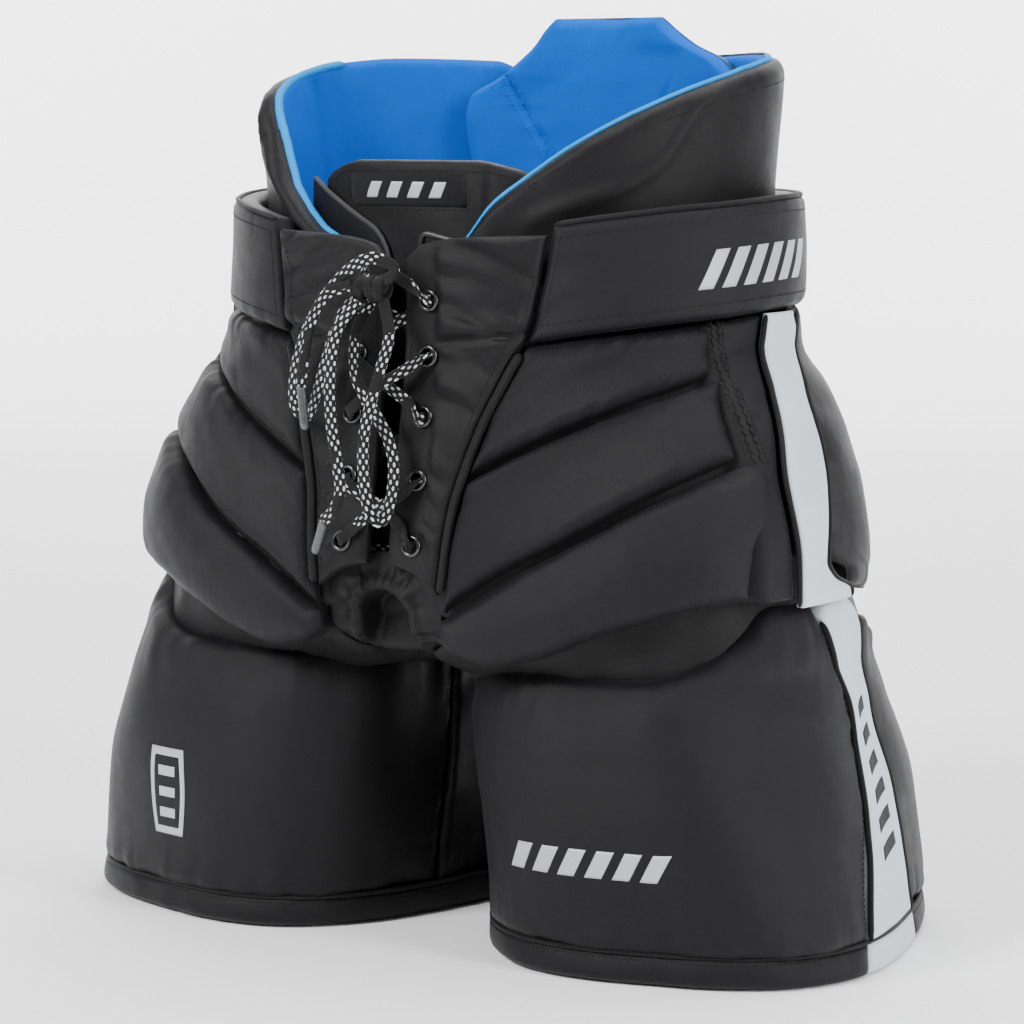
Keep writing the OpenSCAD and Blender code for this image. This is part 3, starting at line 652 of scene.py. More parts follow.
def flat_section(width, thick, sides=14):
    """The outline of a flat braid."""
    turn = circle(sides)
    return np.array([width / 2, thick / 2]) * np.sign(turn) * np.abs(turn) ** 0.6


def braid(name, route, finish, node):
    line = rounded_route(route, 1.2)
    pile = Pile().sweep(line, flat_section(LACE_D, LACE_THICK), (0, -1, 0.25), 0.35)
    return settle(pile.make(name, finish), "waist", "lace_cord", [node]), line


def make_lacing():
    """The laced part, the two bow loops, the two tails with their tips, and the knot."""
    braid("flat_lace", LACE_ROUTE, LACE, "lace")
    for name, route, tip, node in (("bow_left", LOOP_LEFT, None, "bow_loop_left"),
                                   ("bow_right", LOOP_RIGHT, None, "bow_loop_right"),
                                   ("tail_left", TAIL_LEFT, AGLET_LEFT, "lace_tail_left"),
                                   ("tail_right", TAIL_RIGHT, AGLET_RIGHT, "lace_tail_right")):
        obj, line = braid(name, route, BOW_LACE, node)
        length = float(running_length(line, 0)[1][0]) * MM
        fitting = {"with_pieces": [make_aglet("aglet_" + name[5:], tip)]} if tip else {}
    make_knot()


def make_aglet(name, route):
    """A crimped tip, wider where the lace enters it."""
    line = resampled(route, 1.0)
    scale = np.ones(len(line))
    scale[0], scale[-1], scale[-2] = 1.08, 0.55, 0.9
    pile = Pile().sweep(line, 1.75 * circle(14) * [1.1, 0.9], (0, -1, 0), scale=scale)
    return settle(pile.make(name, AGLET), "waist", "aglet_plastic", ["aglets"])


def make_knot():
    """Three snug wraps of the lace around a tight middle."""
    middle = np.array(KNOT_ROUTE, float).mean(0)
    pile = Pile().tube(rounded_route(KNOT_ROUTE, 1.0), 3.0, sides=12)
    section = flat_section(LACE_D * 0.9, LACE_THICK)
    cos, sin = circle(40).T
    for shift, lean in ((-4.2, 0.35), (0.4, -0.3), (4.6, 0.2)):
        points = middle + np.stack([shift + lean * 4 * sin, 4.0 * cos, 4.3 * sin], 1)
        tangent = unit(np.roll(points, -1, 0) - np.roll(points, 1, 0))
        normal = points - (middle + [shift, 0, 0])
        normal = unit(normal - (normal * tangent).sum(1, keepdims=True) * tangent)
        rings = cross_sections(points, section, np.cross(tangent, normal), normal)
        pile.rings(rings, np.linspace(0, 12, len(section)), np.linspace(0, 25, len(points)), closed=True)
    settle(pile.make("bow_knot", LACE), "waist", "lace_cord", ["lace_knot"])


# ---------------------------------------------------------------- shaping padded cloth
def roll(edge, radius, depth):
    """Height lost towards an edge that is turned in like a quarter round."""
    near = 1 - np.clip(edge / radius, 0, 1)
    return depth * (1 - np.sqrt(np.maximum(0, 1 - near * near)))


def puff(edge, reach):
    """0 at an edge, rising to 1 well inside it."""
    return 1 - np.exp(-edge / reach)


def crease(x, middle, width):
    """1 along a narrow line, falling to 0 on both sides of it."""
    return np.exp(-((x - middle) / width) ** 2)


def pucker(along, away, pitch, depth, fade, seed):
    """Short gathers across a seam: along runs with the seam, away is the distance from it."""
    broad = noise(along / pitch, away / (pitch * 2.5), seed)
    return depth * (broad + 0.5 * noise(along / pitch * 2.1, 3.7, seed + 1)) * np.exp(-away / fade)


def gathers(spot, seed, **edges):
    """Puckers beside a form's edges; each edge has its pitch, depth, fade and a number for its seed."""
    return sum(pucker(spot.s if edge in ("low", "top") else spot.t, getattr(spot, edge), *look, seed + step)
               for edge, (*look, step) in edges.items())


def rumple(spot, size, depth, seed, stretch=1.0):
    """Broad soft folds."""
    x, y = spot.s / size, spot.t / (size * stretch)
    return depth * (noise(x, y, seed) + 0.4 * noise(x * 2.3, y * 2.3, seed + 5))


def back(depth, radius=1.0, rise=0.0):
    """An inner face at one depth that rises near its edges."""
    return lambda spot: depth + roll(spot.edge, radius, rise)


def thin_sheet(outer_depth, inner_depth, size, amount, seed):
    """The two faces of a thin cloth with soft folds."""
    return [lambda spot, depth=depth: depth + rumple(spot, size, amount, seed)
            for depth in (outer_depth, inner_depth)]


def four_sides(low, top, left=None, right=None):
    """Maps u and v into a shape bounded by four curves of (u or v, p, q) points."""
    def line(points):
        share, p, q = np.array(points, float).T
        return curve_through(*zip(share, p)), curve_through(*zip(share, q))

    low_line, top_line = line(low), line(top)
    (low_start, low_end), (top_start, top_end) = ((side[0][1:], side[-1][1:]) for side in (low, top))
    left_line = line(left or [(0, *low_start), (1, *top_start)])
    right_line = line(right or [(0, *low_end), (1, *top_end)])

    def place(u, v):
        out = []
        for k in (0, 1):
            across = mix(low_line[k](u), top_line[k](u), v) + mix(left_line[k](v), right_line[k](v), u)
            corners = mix(mix(low_start[k], low_end[k], u), mix(top_start[k], top_end[k], u), v)
            out.append(across - corners)
        return out

    return place


def panel(name, owner, nodes, fill, *shape, bend=None, **settings):
    """A form that is fastened and named: owner is its body and its slot, which is not used; nodes are what it
    stands for.
    """
    made = form(name, *shape, **settings)
    settle(made.obj, *owner, nodes, fill, bend)
    return made


STITCH_LIFT = 0.05


def seam_points(shape, start, end, lift, count=120):
    """Points along a straight line in a form's u and v."""
    t = np.linspace(0, 1, count)
    return on_form(shape, mix(start[0], end[0], t), mix(start[1], end[1], t), lift)


def sew(name, owner, *seams):
    """Stitches along seams; each is a form, its start and end in u and v, and a count of points."""
    trim = Pile()
    for shape, start, end, count, *look in seams:
        trim.stitches(seam_points(shape, start, end, STITCH_LIFT, count), *look)
    settle(trim.make(name, THREAD), *owner)


def patch_on(shape, name, owner, outline, lift, finish, counts=(24, 10)):
    """A thin patch on a form's outer face; outline maps 0 to 1 both ways to the form's u and v."""
    s, t = np.meshgrid(np.linspace(0, 1, counts[0] + 1), np.linspace(0, 1, counts[1] + 1), indexing="ij")
    u, v = outline(s, t)
    edge = np.minimum(np.minimum(s, 1 - s) * counts[0], np.minimum(t, 1 - t) * counts[1])
    top = on_form(shape, u, v, lift * np.where(edge < 0.5, 0.45, 1.0)[..., None])
    under = on_form(shape, u, v, -0.5)
    index = np.arange(s.size).reshape(s.shape)
    below = index + index.size
    uv = np.stack([running_length(top, 0)[0], running_length(top, 1)[0]], -1)
    faces = [cells(index).reshape(-1, 4), cells(below)[:, :, ::-1].reshape(-1, 4)]
    uvs = [cells(uv).reshape(-1, 2), cells(uv)[:, :, ::-1].reshape(-1, 2)]
    for a, b, flip in ((index[0, :], below[0, :], True), (index[-1, :], below[-1, :], False),
                       (index[:, 0], below[:, 0], False), (index[:, -1], below[:, -1], True)):
        ring = np.stack([a[:-1], b[:-1], b[1:], a[1:]], 1)
        faces.append(ring[:, ::-1] if flip else ring)
        uvs.append(np.zeros((ring.size, 2)))
    if shape.side < 0:
        faces = [f[:, ::-1] for f in faces]
    obj = new_object(name, np.concatenate([top.reshape(-1, 3), under.reshape(-1, 3)]), faces,
                     np.concatenate(uvs), [finish])
    settle(obj, *owner)


def slanted_bars(shape, prefix, owner, bars, lift, counts=(16, 10)):
    """Printed bars; each is its middle in u and v, its half width and half height, and its slant."""
    for k, (u, v, half_w, half_h, slant) in enumerate(bars):
        def outline(s, t, u=u, v=v, half_w=half_w, half_h=half_h, slant=slant):
            return u + half_w * (2 * s - 1) + slant * (2 * t - 1), v + half_h * (2 * t - 1)

        patch_on(shape, f"{prefix}_{k + 1}", owner, outline, lift, SILVER, counts)


# ---------------------------------------------------------------- belt
WAIST_SHELL, WAIST_SOFT = ("waist", "shell_nylon"), ("waist", "soft_nylon")
BACK_SEAM_GAP = 0.25


def make_belt(name, side):
    seed = 11 if side > 0 else 17

    def place(u, v):
        a = mix(FACING_A(BELT_Z + BELT_H * v) + 0.6, 180 - BACK_SEAM_GAP, u)
        return a, belt_low(a) + BELT_H * v

    def outer(spot):
        fold = 0.7 * crease(spot.t, 31 + 4 * noise(spot.s / 60, 0, seed), 5)
        return (1.4 * puff(spot.edge, 12) - roll(spot.edge, 4, 4.5) + rumple(spot, 42, 0.45, seed, 0.5)
                - fold * smooth(noise(spot.s / 45, 2, seed + 3), -0.3, 0.6)
                + gathers(spot, seed, low=(7, 0.5, 5, 1), top=(8, 0.4, 5, 2), left=(8, 0.7, 8, 4)))

    shape = panel("belt_" + name, WAIST_SHELL, [f"belt_cover_{name}", f"belt_foam_{name}"], 0.6,
                  pelvis, place, (150, 36), outer, back(-10.7, 4, 3.5), [SHELL, SOFT], side)
    sew("belt_stitching_" + name, WAIST_SHELL, (shape, (0.012, 0.13), (0.99, 0.13), 260),
        (shape, (0.012, 0.87), (0.99, 0.87), 260), (shape, (0.014, 0.13), (0.014, 0.87), 120))
    cord = Pile().tube(resampled(seam_points(shape, (0.003, 0.985), (0.998, 0.985), 0.5, 260), 2), 1.15)
    settle(cord.make("belt_piping_" + name, BINDING), *WAIST_SHELL)
    return shape


# ---------------------------------------------------------------- lacing facings
SLIT_HALF_W = 5
FACING_LOW = curve_through((0, 159.5), (0.45, 157), (1, 149))
FACING_TOP = curve_through((0, 281), (0.12, 287), (0.4, 290), (1, 291.5))
EYELET_HOLE_R = 3.1
# An eyelet's rolled flange and barrel: radius, and height above the facing
EYELET_PROFILE = [(2.72, -3.5), (2.72, 0.1), (2.85, 0.62), (3.2, 1.02), (3.7, 1.12), (4.2, 0.88), (4.55, 0.4),
                  (4.6, 0.0), (4.35, -0.15), (3.2, -0.2), (3.05, -0.5), (3.05, -3.5)]


def make_facing(name, side):
    seed = 23 if side > 0 else 29

    def place(u, v):
        z = mix(FACING_LOW(u), FACING_TOP(u), v)
        slit_edge = np.degrees(np.arctan2(SLIT_HALF_W, PELVIS_D(z)))
        return mix(slit_edge, FACING_A(z) - 0.5, u), z

    def outer(spot):
        clear = smooth(spot.left, 15.5, 21)
        folds = noise(spot.s / 30, spot.t / 6.0, seed) + 0.55 * noise(spot.s / 18, spot.t / 3.2, seed + 1)
        belt_seam = 247 + 0.1 * spot.s
        dent = 2.6 * crease(spot.q, belt_seam, 1.6) - 1.2 * crease(spot.q, belt_seam + 5, 4)
        return (clear * (1.6 * puff(spot.right, 9) + 1.9 * folds * smooth(spot.right, 0, 9) - dent)
                + (1 - clear) * 0.3 * noise(spot.s / 8, spot.t / 5, seed + 2)
                + pucker(spot.t, np.maximum(spot.right, 4), 5, 1.0, 8, seed + 3) * smooth(spot.right, 0, 5)
                - roll(spot.edge, 2.6, 2.4) - 0.2)

    shape = form("fly_" + name, pelvis, place, (44, 120), outer, back(-5.6, 2.6, 1.8), [SOFT, SOFT], side)
    drill(shape.obj, [eyelet_frame(z, side) for z in EYELET_Z], EYELET_HOLE_R)
    settle(shape.obj, *WAIST_SOFT, [f"fly_facing_{name}"], fill=0.5)
    sew("fly_stitching_" + name, WAIST_SOFT, (shape, (0.9, 0.03), (0.9, 0.97), 200),
        (shape, (0.1, 0.03), (0.06, 0.96), 200))
    z = np.linspace(150, 245, 90)
    seam = raised(pelvis, FACING_A(z) + 0.45, z, -0.9)
    settle(Pile().tube(seam, 1.9).make("fly_piping_" + name, BINDING, side), *WAIST_SOFT)
    rings = Pile()
    for z in EYELET_Z:
        centre, across, up, out = eyelet_frame(z, side)
        spokes = circle(40) @ np.stack([across, up])
        ring = [[centre + r * spoke + (h + 0.1) * out for r, h in EYELET_PROFILE] for spoke in spokes]
        rings.rings(np.array(ring), np.linspace(0, 12, len(EYELET_PROFILE)), np.linspace(0, 25, len(spokes)),
                    closed=True)
    settle(rings.make("eyelet_rings_" + name, ENAMEL), "waist", "eyelet_metal", [f"eyelets_{name}"])


def eyelet_frame(z, side):
    """The middle of an eyelet on the facing's surface, and its crosswise, upward and outward directions."""
    lean = math.atan2(float(PELVIS_D(z - 8) - PELVIS_D(z + 8)), 16)
    up = np.array([0, math.sin(lean), math.cos(lean)])
    out = np.array([0, -math.cos(lean), math.sin(lean)])
    centre = np.array([side * EYELET_X, -float(PELVIS_D(z)), z])
    return centre, np.array([1.0, 0, 0]), up, out


def drill(obj, spots, radius):
    """Cuts round holes through a form."""
    cutter = Pile()
    sides = 28
    for centre, across, up, out in spots:
        rim = centre + radius * circle(sides) @ np.stack([across, up])
        cutter.rings(np.stack([rim - 9 * out, rim + 6 * out]), np.linspace(0, 1, sides), np.linspace(0, 1, 2))
    tool = cutter.make("cutter", obj.data.materials[0])
    cut = obj.modifiers.new("holes", "BOOLEAN")
    cut.operation, cut.solver, cut.object = "DIFFERENCE", "EXACT", tool
    result = bpy.data.meshes.new_from_object(obj.evaluated_get(bpy.context.evaluated_depsgraph_get()))
    obj.modifiers.clear()
    obj.data = result
    bpy.data.objects.remove(tool)


# ---------------------------------------------------------------- hip padding
STRIPE_A = curve_through((146, 74.5), (192, 74), (224, 77.5), (248, 81), (262, 83))
STRIPE_B = curve_through((146, 89.5), (150, 89), (156, 84), (163, 81.8), (185, 83.6), (223, 87.6), (248, 93),
                         (262, 95))
PAD_BACK = -6.6
UPPER_PAD = four_sides(
    low=[(0, 21.4, 197.5), (0.35, 38, 214.5), (0.65, 51.6, 226.8), (1, 69, 239)],
    top=[(0, 33.2, 247.5), (0.4, 46, 251), (1, 70, 256.5)],
    left=[(0, 21.4, 197.5), (0.5, 26.2, 222), (1, 33.2, 247.5)])
MIDDLE_PAD = four_sides(
    low=[(0, 15.9, 141.5), (0.08, 18.6, 146), (0.42, 37.7, 171.2), (0.78, 56, 195.2), (1, 67.6, 206.5)],
    top=[(0, 20.6, 194.6), (0.35, 38, 212.3), (0.63, 51.6, 224.6), (1, 69.6, 236.8)],
    left=[(0, 15.9, 141.5), (0.6, 18.2, 176), (1, 20.6, 194.6)],
    right=[(0, 67.6, 206.5), (0.5, 67.6, 220), (1, 69.6, 236.8)])
LOWER_PAD = four_sides(
    low=[(0, 14.6, 130.5), (0.07, 19, 124), (0.18, 25.6, 121), (0.34, 35, 125.6), (0.55, 46.5, 138),
         (0.8, 58, 147), (1, 66.4, 151)],
    top=[(0, 15.3, 138.5), (0.05, 18.4, 142.6), (0.4, 37.7, 168.2), (0.76, 56, 192.2), (1, 68.5, 204.5)],
    left=[(0, 14.6, 130.5), (1, 15.3, 138.5)],
    right=[(0, 66.4, 151), (0.35, 67.2, 170), (0.75, 71.6, 188), (0.93, 72.2, 199), (1, 68.5, 204.5)])
UNDERLAY_LOW = curve_through((0, 138), (0.3, 133), (0.6, 147), (1, 150))
ZIGZAG_A = 70.6


def make_pad(node, name, side, place, counts, seed, crown, bend=None, thick=0.0):
    """One quilted hip pad; thick makes its lower edge deeper."""
    def outer(spot):
        return (crown * puff(spot.edge, 9) - roll(np.minimum(spot.edge, spot.left * 1.5 + 2), 7, 5.6)
                + rumple(spot, 34, 0.7, seed, 0.6)
                + gathers(spot, seed, low=(5.5, 0.75, 6, 1), top=(5.5, 0.75, 6, 2), right=(5, 0.7, 7, 3),
                          left=(5, 0.8, 7, 4)))

    def inner(spot):
        return PAD_BACK - thick * smooth(spot.low, 22, 4) + roll(spot.edge, 3, 0.8)

    panel(f"{node}_{name}", WAIST_SHELL, [f"{node}_{name}"], 0.7, pelvis, place, counts, outer, inner,
          [SHELL, SOFT], side, bend=bend, bunch=0.75)


def make_hips(name, side):
    seed = 100 if side > 0 else 160
    body = f"{name}_leg"
    make_pad("hip_pad_upper", name, side, UPPER_PAD, (84, 40), seed, 1.6)
    make_pad("hip_pad_middle", name, side, MIDDLE_PAD, (92, 52), seed + 10, 2.4)
    make_pad("hip_pad_lower", name, side, LOWER_PAD, (110, 60), seed + 20, 4.2, bend=body, thick=5.0)

    def place(u, v):
        z = mix(mix(UNDERLAY_LOW(u), 148, 0.2), 249 + 9.5 * u, v)
        return mix(FACING_A(z) - 3.0, STRIPE_A(z) - 0.3, u), z

    def outer(spot):
        border = smooth(spot.p, 65, 69.5)
        return mix(-7.2, -1.2 + rumple(spot, 12, 0.5, seed + 31), border) - roll(spot.edge, 2, 1.2)

    panel("hip_underlay_" + name, WAIST_SHELL, (), None, pelvis, place, (70, 60), outer, back(-12),
          [SHELL, SOFT], side, bend=body, bunch=0.3)

    z = np.arange(203, 258, 0.5)
    swing = 0.75 * np.abs(((z / 1.7) % 2) - 1) * 2 - 0.75
    band = Pile()
    for offset in (-0.75, 0.75):
        band.tube(raised(pelvis, ZIGZAG_A + 0.45 * swing + offset, z, -0.8), 0.3, sides=6)
    for offset in (-1.6, 1.6):
        band.stitches(raised(pelvis, ZIGZAG_A + offset + 0 * z, z, -0.85), pitch=2.0, length=1.4, radius=0.25)
    settle(band.make("hip_zigzag_" + name, THREAD, side), *WAIST_SHELL, bend=body)


# ---------------------------------------------------------------- side stripes above the legs
STRIPE_LOW, STRIPE_TOP = 146, 259.5


def make_upper_stripe(name, side):
    seed = 210 if side > 0 else 220
    owner, body = ("waist", "stripe_knit"), f"{name}_leg"

    def place(u, v):
        z = mix(STRIPE_LOW, STRIPE_TOP, v)
        return mix(STRIPE_A(z) + 0.9, STRIPE_B(z) - 0.9, u), z

    def outer(spot):
        return 1.0 - roll(spot.edge, 2.2, 1.0) + rumple(spot, 24, 0.45, seed) - 1.6 * smooth(spot.q, 252, 259)

    panel("stripe_upper_" + name, owner, [f"upper_stripe_{name}"], None, pelvis, place, (22, 90), outer,
          back(-2.6), [STRIPE, SOFT], side, bend=body)
    edges = Pile()
    z = np.linspace(STRIPE_LOW + 0.5, STRIPE_TOP - 0.5, 110)
    for a in (STRIPE_A(z) + 0.35, STRIPE_B(z) - 0.35):
        edges.tube(raised(pelvis, a, z, 0.1), 1.15)
    settle(edges.make("stripe_piping_" + name, BINDING, side), *owner, bend=body)


# ---------------------------------------------------------------- seat and what lies under it
SEAT_LOW = curve_through((80, 149), (93, 148), (103, 144), (113, 140.5), (125, 139), (150, 129), (180, 127))
SEAT_TOP, SEAT_SEAM_GAP = 261, 0.2
SEAT_CHANNELS_Z = (163, 188, 213)


def make_seat(name, side):
    seed = 240 if side > 0 else 250

    def place(u, v):
        a = mix(STRIPE_B(mix(141, SEAT_TOP, v)) + 0.7, 180 - SEAT_SEAM_GAP, u)
        return a, mix(SEAT_LOW(a), SEAT_TOP, v)

    def outer(spot):
        quilted = smooth(spot.p, 150, 155) * smooth(spot.q, 138, 143) * smooth(spot.q, 240, 236)
        channel = sum(crease(spot.q, z, 2.2) for z in SEAT_CHANNELS_Z) * smooth(spot.p, 153, 157)
        border = crease(spot.p, 152.5, 1.2) * smooth(spot.q, 136, 142)
        return (mix(0.4, 2.4, smooth(spot.p, 125, 150)) * puff(spot.edge, 14) - roll(spot.edge, 6, 3.4)
                - 1.8 * smooth(spot.p, 145, 105) + rumple(spot, 46, 1.2, seed, 0.7)
                + 2.2 * (quilted - channel) - 1.8 * border - 0.6
                + gathers(spot, seed, low=(8, 1.1, 12, 1), top=(6, 1.0, 10, 2), left=(7, 1.0, 9, 3)))

    shape = panel("seat_" + name, WAIST_SOFT, [f"seat_panel_{name}"], 0.4, pelvis, place, (120, 84), outer,
                  back(-4.8, 4, 0.8), [SOFT, SOFT], side)
    sew("seat_stitching_" + name, WAIST_SOFT, (shape, (0.985, 0.04), (0.985, 0.97), 160))


def make_tailbone():
    def place(u, v):
        return mix(mix(158, 152, v), mix(202, 208, v), u), mix(140, 236, v)

    def outer(spot):
        return -6.2 - roll(spot.edge, 4, 2.5) - 0.5 * crease(spot.t % 24, 12, 2)

    panel("tailbone_foam", ("waist", "foam"), ["tailbone_pad"], 0.8, pelvis, place, (30, 30), outer,
          back(-14.6, 4, 2.5), [FOAM])


def make_waist_lining():
    """One lining around the inside, from below the hips up into the belt, open only at the fly."""
    faces = thin_sheet(-17.4, -18.8, 26, 0.5, 301)
    panel("inner_lining", ("waist", "lining_mesh"), ["waist_lining"], None, pelvis,
          lambda u, v: (mix(38, 322, u), mix(170, 265, v)), (150, 30), *faces, [LINING], bunch=0.2)


# ---------------------------------------------------------------- gathered gusset between the legs
GUSSET_ROUTE = [(0, -99.5, 164), (0, -100.5, 156), (0, -101, 148), (0, -100, 139), (0, -97.5, 132),
                (0, -91, 126), (0, -78, 123), (0, -45, 121), (0, 0, 120.3), (0, 45, 121), (0, 80, 122.5),
                (0, 95, 125), (0, 101, 130)]
GUSSET_HALF_W = curve_through((0, 25), (14, 27), (30, 27), (40, 22.5), (50, 14), (64, 9.8), (200, 9),
                              (235, 11), (260, 12.5))
# Along the strip: where the arch springs from, and where the gathered part ends in a hem
ARCH_S, ARCH_R, GUSSET_HEM_S = 27, 12, 47


def make_gusset():
    """A strip between the legs that is gathered around a hollow arch below the fly."""
    line = rounded_route(GUSSET_ROUTE, 1.1)
    s = (np.linspace(0, 1, len(line)) * running_length(line, 0)[1])[:, None]
    tangent = unit(np.gradient(line, axis=0))
    up = np.stack([0 * tangent[:, 0], -tangent[:, 2], tangent[:, 1]], 1)
    x = np.linspace(-1, 1, 91)[None] * GUSSET_HALF_W(s)
    rise, spread = (s - ARCH_S) / ARCH_R, (x + 1.0) / 12.5
    above = np.minimum(rise, 0)
    arch = np.hypot(above, spread)
    around = np.sign(spread) * (np.arctan2(np.abs(spread), -above + 1e-6) + np.maximum(rise, 0))
    hollow = 12 * smooth(arch, 1.0, 0.66) * smooth(s, 46, 41)
    lip = 2.2 * crease(arch, 1.2, 0.22) * smooth(s, 50, 38)
    pleat = noise(around * 6 + 20, 0.5 + arch * 0.5, 320) + 0.9 * noise(around * 12 + 40, arch, 321)
    pleat = pleat * crease(arch, 1.4, 0.45) * smooth(s, 48, 36)
    hem = 2.0 * crease(s, GUSSET_HEM_S, 2.2)
    height = lip + 1.4 * pleat + 0.8 * noise(x / 7 + 9, s / 9, 322) + hem - hollow
    outer = line[:, None] + x[..., None] * [1, 0, 0] - height[..., None] * up[:, None]
    inner = outer + 2.0 * up[:, None]
    loop = np.concatenate([outer, inner[:, ::-1]], axis=1)
    pile = Pile()
    pile.rings(loop[:, ::-1], np.linspace(0, 90, loop.shape[1]), np.linspace(0, 260, len(line)))
    settle(pile.make("gusset", SOFT), *WAIST_SOFT, ["crotch_gusset"])


def make_fly_backing():
    """Soft cloth behind the low end of the slit."""
    panel("fly_backing", WAIST_SOFT, (), None, lambda x, z: pelvis_across(x, z, 0, -1),
          lambda u, v: (mix(-21, 21, u), mix(156, 178, v)), (30, 24), *thin_sheet(-15.0, -16.6, 9, 0.35, 331),
          [SOFT])


# ---------------------------------------------------------------- strap and buckle
STRAP_ROUTE = [
    (-68, -51.5), (-62, -54.8), (-56, -58), (-50, -60.3), (-43, -62.8), (-37, -64.3), (-31, -65.5),
    (-25, -66.4), (-20, -66.9)
]
STRAP_Z, STRAP_W, STRAP_T, STRAP_MID_X, STRAP_SLOPE = 288, 22, 1.7, -40, -0.5


def make_strap():
    """A flat webbing tab that slopes down to its rounded end, with a bound edge."""
    line = rounded_route([(x, y, STRAP_Z + STRAP_SLOPE * (x - STRAP_MID_X)) for x, y in STRAP_ROUTE], 0.8)
    up = np.array([0, 0, 1.0])
    out = unit(np.cross(np.gradient(line, axis=0), up))
    to_end = np.linalg.norm(line[-1] - line, axis=1)
    tuck = np.clip(1 - to_end / (STRAP_W / 2), 0, 1)
    half = STRAP_W / 2 * np.maximum(np.sqrt(1 - tuck ** 2), 0.12)[:, None]
    outline = flat_section(2.0, STRAP_T, 22)
    pile = Pile()
    pile.rings(cross_sections(line, outline, half * up, out), np.linspace(0, 2 * STRAP_W, 22),
               np.arange(len(line)) * 0.8)
    settle(pile.make("waist_strap", WEBBING), "waist", "webbing", ["waist_strap"])

    def border(reach):
        return np.concatenate([line + up * reach, (line - up * reach)[::-1]])

    edge = rounded_route(resampled(border(half - 0.6), 3.0), 1.0)
    settle(Pile().tube(edge, 1.0).make("strap_binding", TRIM), "waist", "webbing")
    front = out if out[0, 1] <= 0 else -out
    shift = np.concatenate([front, front[::-1]]) * (STRAP_T / 2 + 0.1)
    stitching = Pile().stitches(border(half * 0.72) + shift, radius=0.22)
    settle(stitching.make("strap_stitching", THREAD), "waist", "webbing")


BUCKLE_AT = (17, -82.4, 281)
BUCKLE_TILT = 12
BUCKLE_CORNER_X, BUCKLE_CORNER_Z, BUCKLE_CORNER_R = 9.6, 5.6, 2.4


def make_buckle():
    """A slide with rounded corners and one crossbar."""
    tilt = math.radians(BUCKLE_TILT)
    turn = np.array([[math.cos(tilt), 0, math.sin(tilt)], [0, 1, 0], [-math.sin(tilt), 0, math.cos(tilt)]])
    ring = []
    for k, (right, up) in enumerate([(1, 1), (-1, 1), (-1, -1), (1, -1)]):
        for bend in np.linspace(0, math.pi / 2, 7) + k * math.pi / 2:
            ring.append((right * BUCKLE_CORNER_X + BUCKLE_CORNER_R * math.cos(bend), 0,
                         up * BUCKLE_CORNER_Z + BUCKLE_CORNER_R * math.sin(bend)))
    outline = resampled(ring + ring[:1], 1.0)[:-1]
    pile = Pile()
    pile.sweep(BUCKLE_AT + outline @ turn.T, flat_section(2.4, 2.3, 12), (0, -1, 0), pull=1.0, closed=True)
    pile.tube(BUCKLE_AT + resampled([(-11.5, 0, 0), (11.5, 0, 0)], 2.0) @ turn.T, 1.2, sides=12, ends=False)
    settle(pile.make("ladder_buckle", BUCKLE), "buckle", "buckle_plastic", ["strap_buckle"])


# ---------------------------------------------------------------- tongue
TONGUE_LOW = 170
TONGUE_TOP = curve_through((0, 312.5), (0.06, 316.5), (0.16, 320), (0.8, 320), (0.93, 317), (1, 313.5))
TONGUE_RIGHT = curve_through((170, 20), (230, 30), (262, 40), (290, 52), (309, 61), (315, 60.5), (321, 52))
TONGUE_LEFT = curve_through((170, 20), (230, 30), (262, 38), (290, 43), (309, 47), (315, 45), (321, 36))
TONGUE_D = curve_through((170, -19), (240, -19), (262, -27.4), (272, -28), (321, -28))


def make_tongue():
    owner = ("tongue", "soft_nylon")

    def skin(x, z):
        return pelvis_across(x, z, TONGUE_D(z), -1)

    def place(u, v):
        z = mix(TONGUE_LOW, TONGUE_TOP(u), v)
        return mix(-TONGUE_RIGHT(z), TONGUE_LEFT(z), u), z

    def outer(spot):
        return (1.0 * puff(spot.edge, 8) - roll(spot.edge, 3.2, 3) - 1.1 * crease(spot.p, 27, 1.1)
                + rumple(spot, 30, 0.7, 401) + gathers(spot, 402, top=(5, 0.5, 5, 0)))

    shape = panel("tongue", owner, ["tongue_cover", "tongue_foam"], 0.5, skin, place, (56, 90), outer,
                  back(-6.8, 3.2, 3), [SOFT, LINING])
    patch_on(shape, "tongue_label", owner, lambda s, t: (mix(0.17, 0.72, s), mix(0.875, 0.965, t)), 0.35,
             BINDING)
    left, right, low, top = 0.16, 0.73, 0.867, 0.973
    trim = Pile()
    for start, end in (((left, low), (right, low)), ((left, top), (right, top)),
                       ((left, low), (left, top)), ((right, low), (right, top))):
        trim.stitches(seam_points(shape, start, end, 0.1, 60), pitch=1.8, length=1.2, radius=0.2)
    trim.stitches(seam_points(shape, (0.03, 0.97), (0.97, 0.97), STITCH_LIFT), pitch=2.2)
    settle(trim.make("tongue_stitching", THREAD), *owner)
    bars = [(0.2925 + 0.10 * k, 0.92, 0.0275, 0.023, 0.015) for k in range(4)]
    slanted_bars(shape, "tongue_mark", owner, bars, 0.6, (24, 10))


# ---------------------------------------------------------------- floating spine pad
SPINE_D, SPINE_LOW, SPINE_TOP = -26, 292, 380
SPINE_RIGHT = curve_through((292, 50), (320, 58), (336, 60.5), (346, 58.5), (355, 45), (360, 39), (368, 30),
                            (375, 24.5), (380, 19))
SPINE_LEFT = curve_through((292, 68), (320, 78), (345, 87), (354, 86), (360, 79), (368, 57), (374, 46),
                           (380, 37))
# How far the seam of each wing is from the centre plane
SPINE_SEAM = curve_through((300, 15), (320, 20), (335, 30), (346, 37), (357, 44), (380, 60))


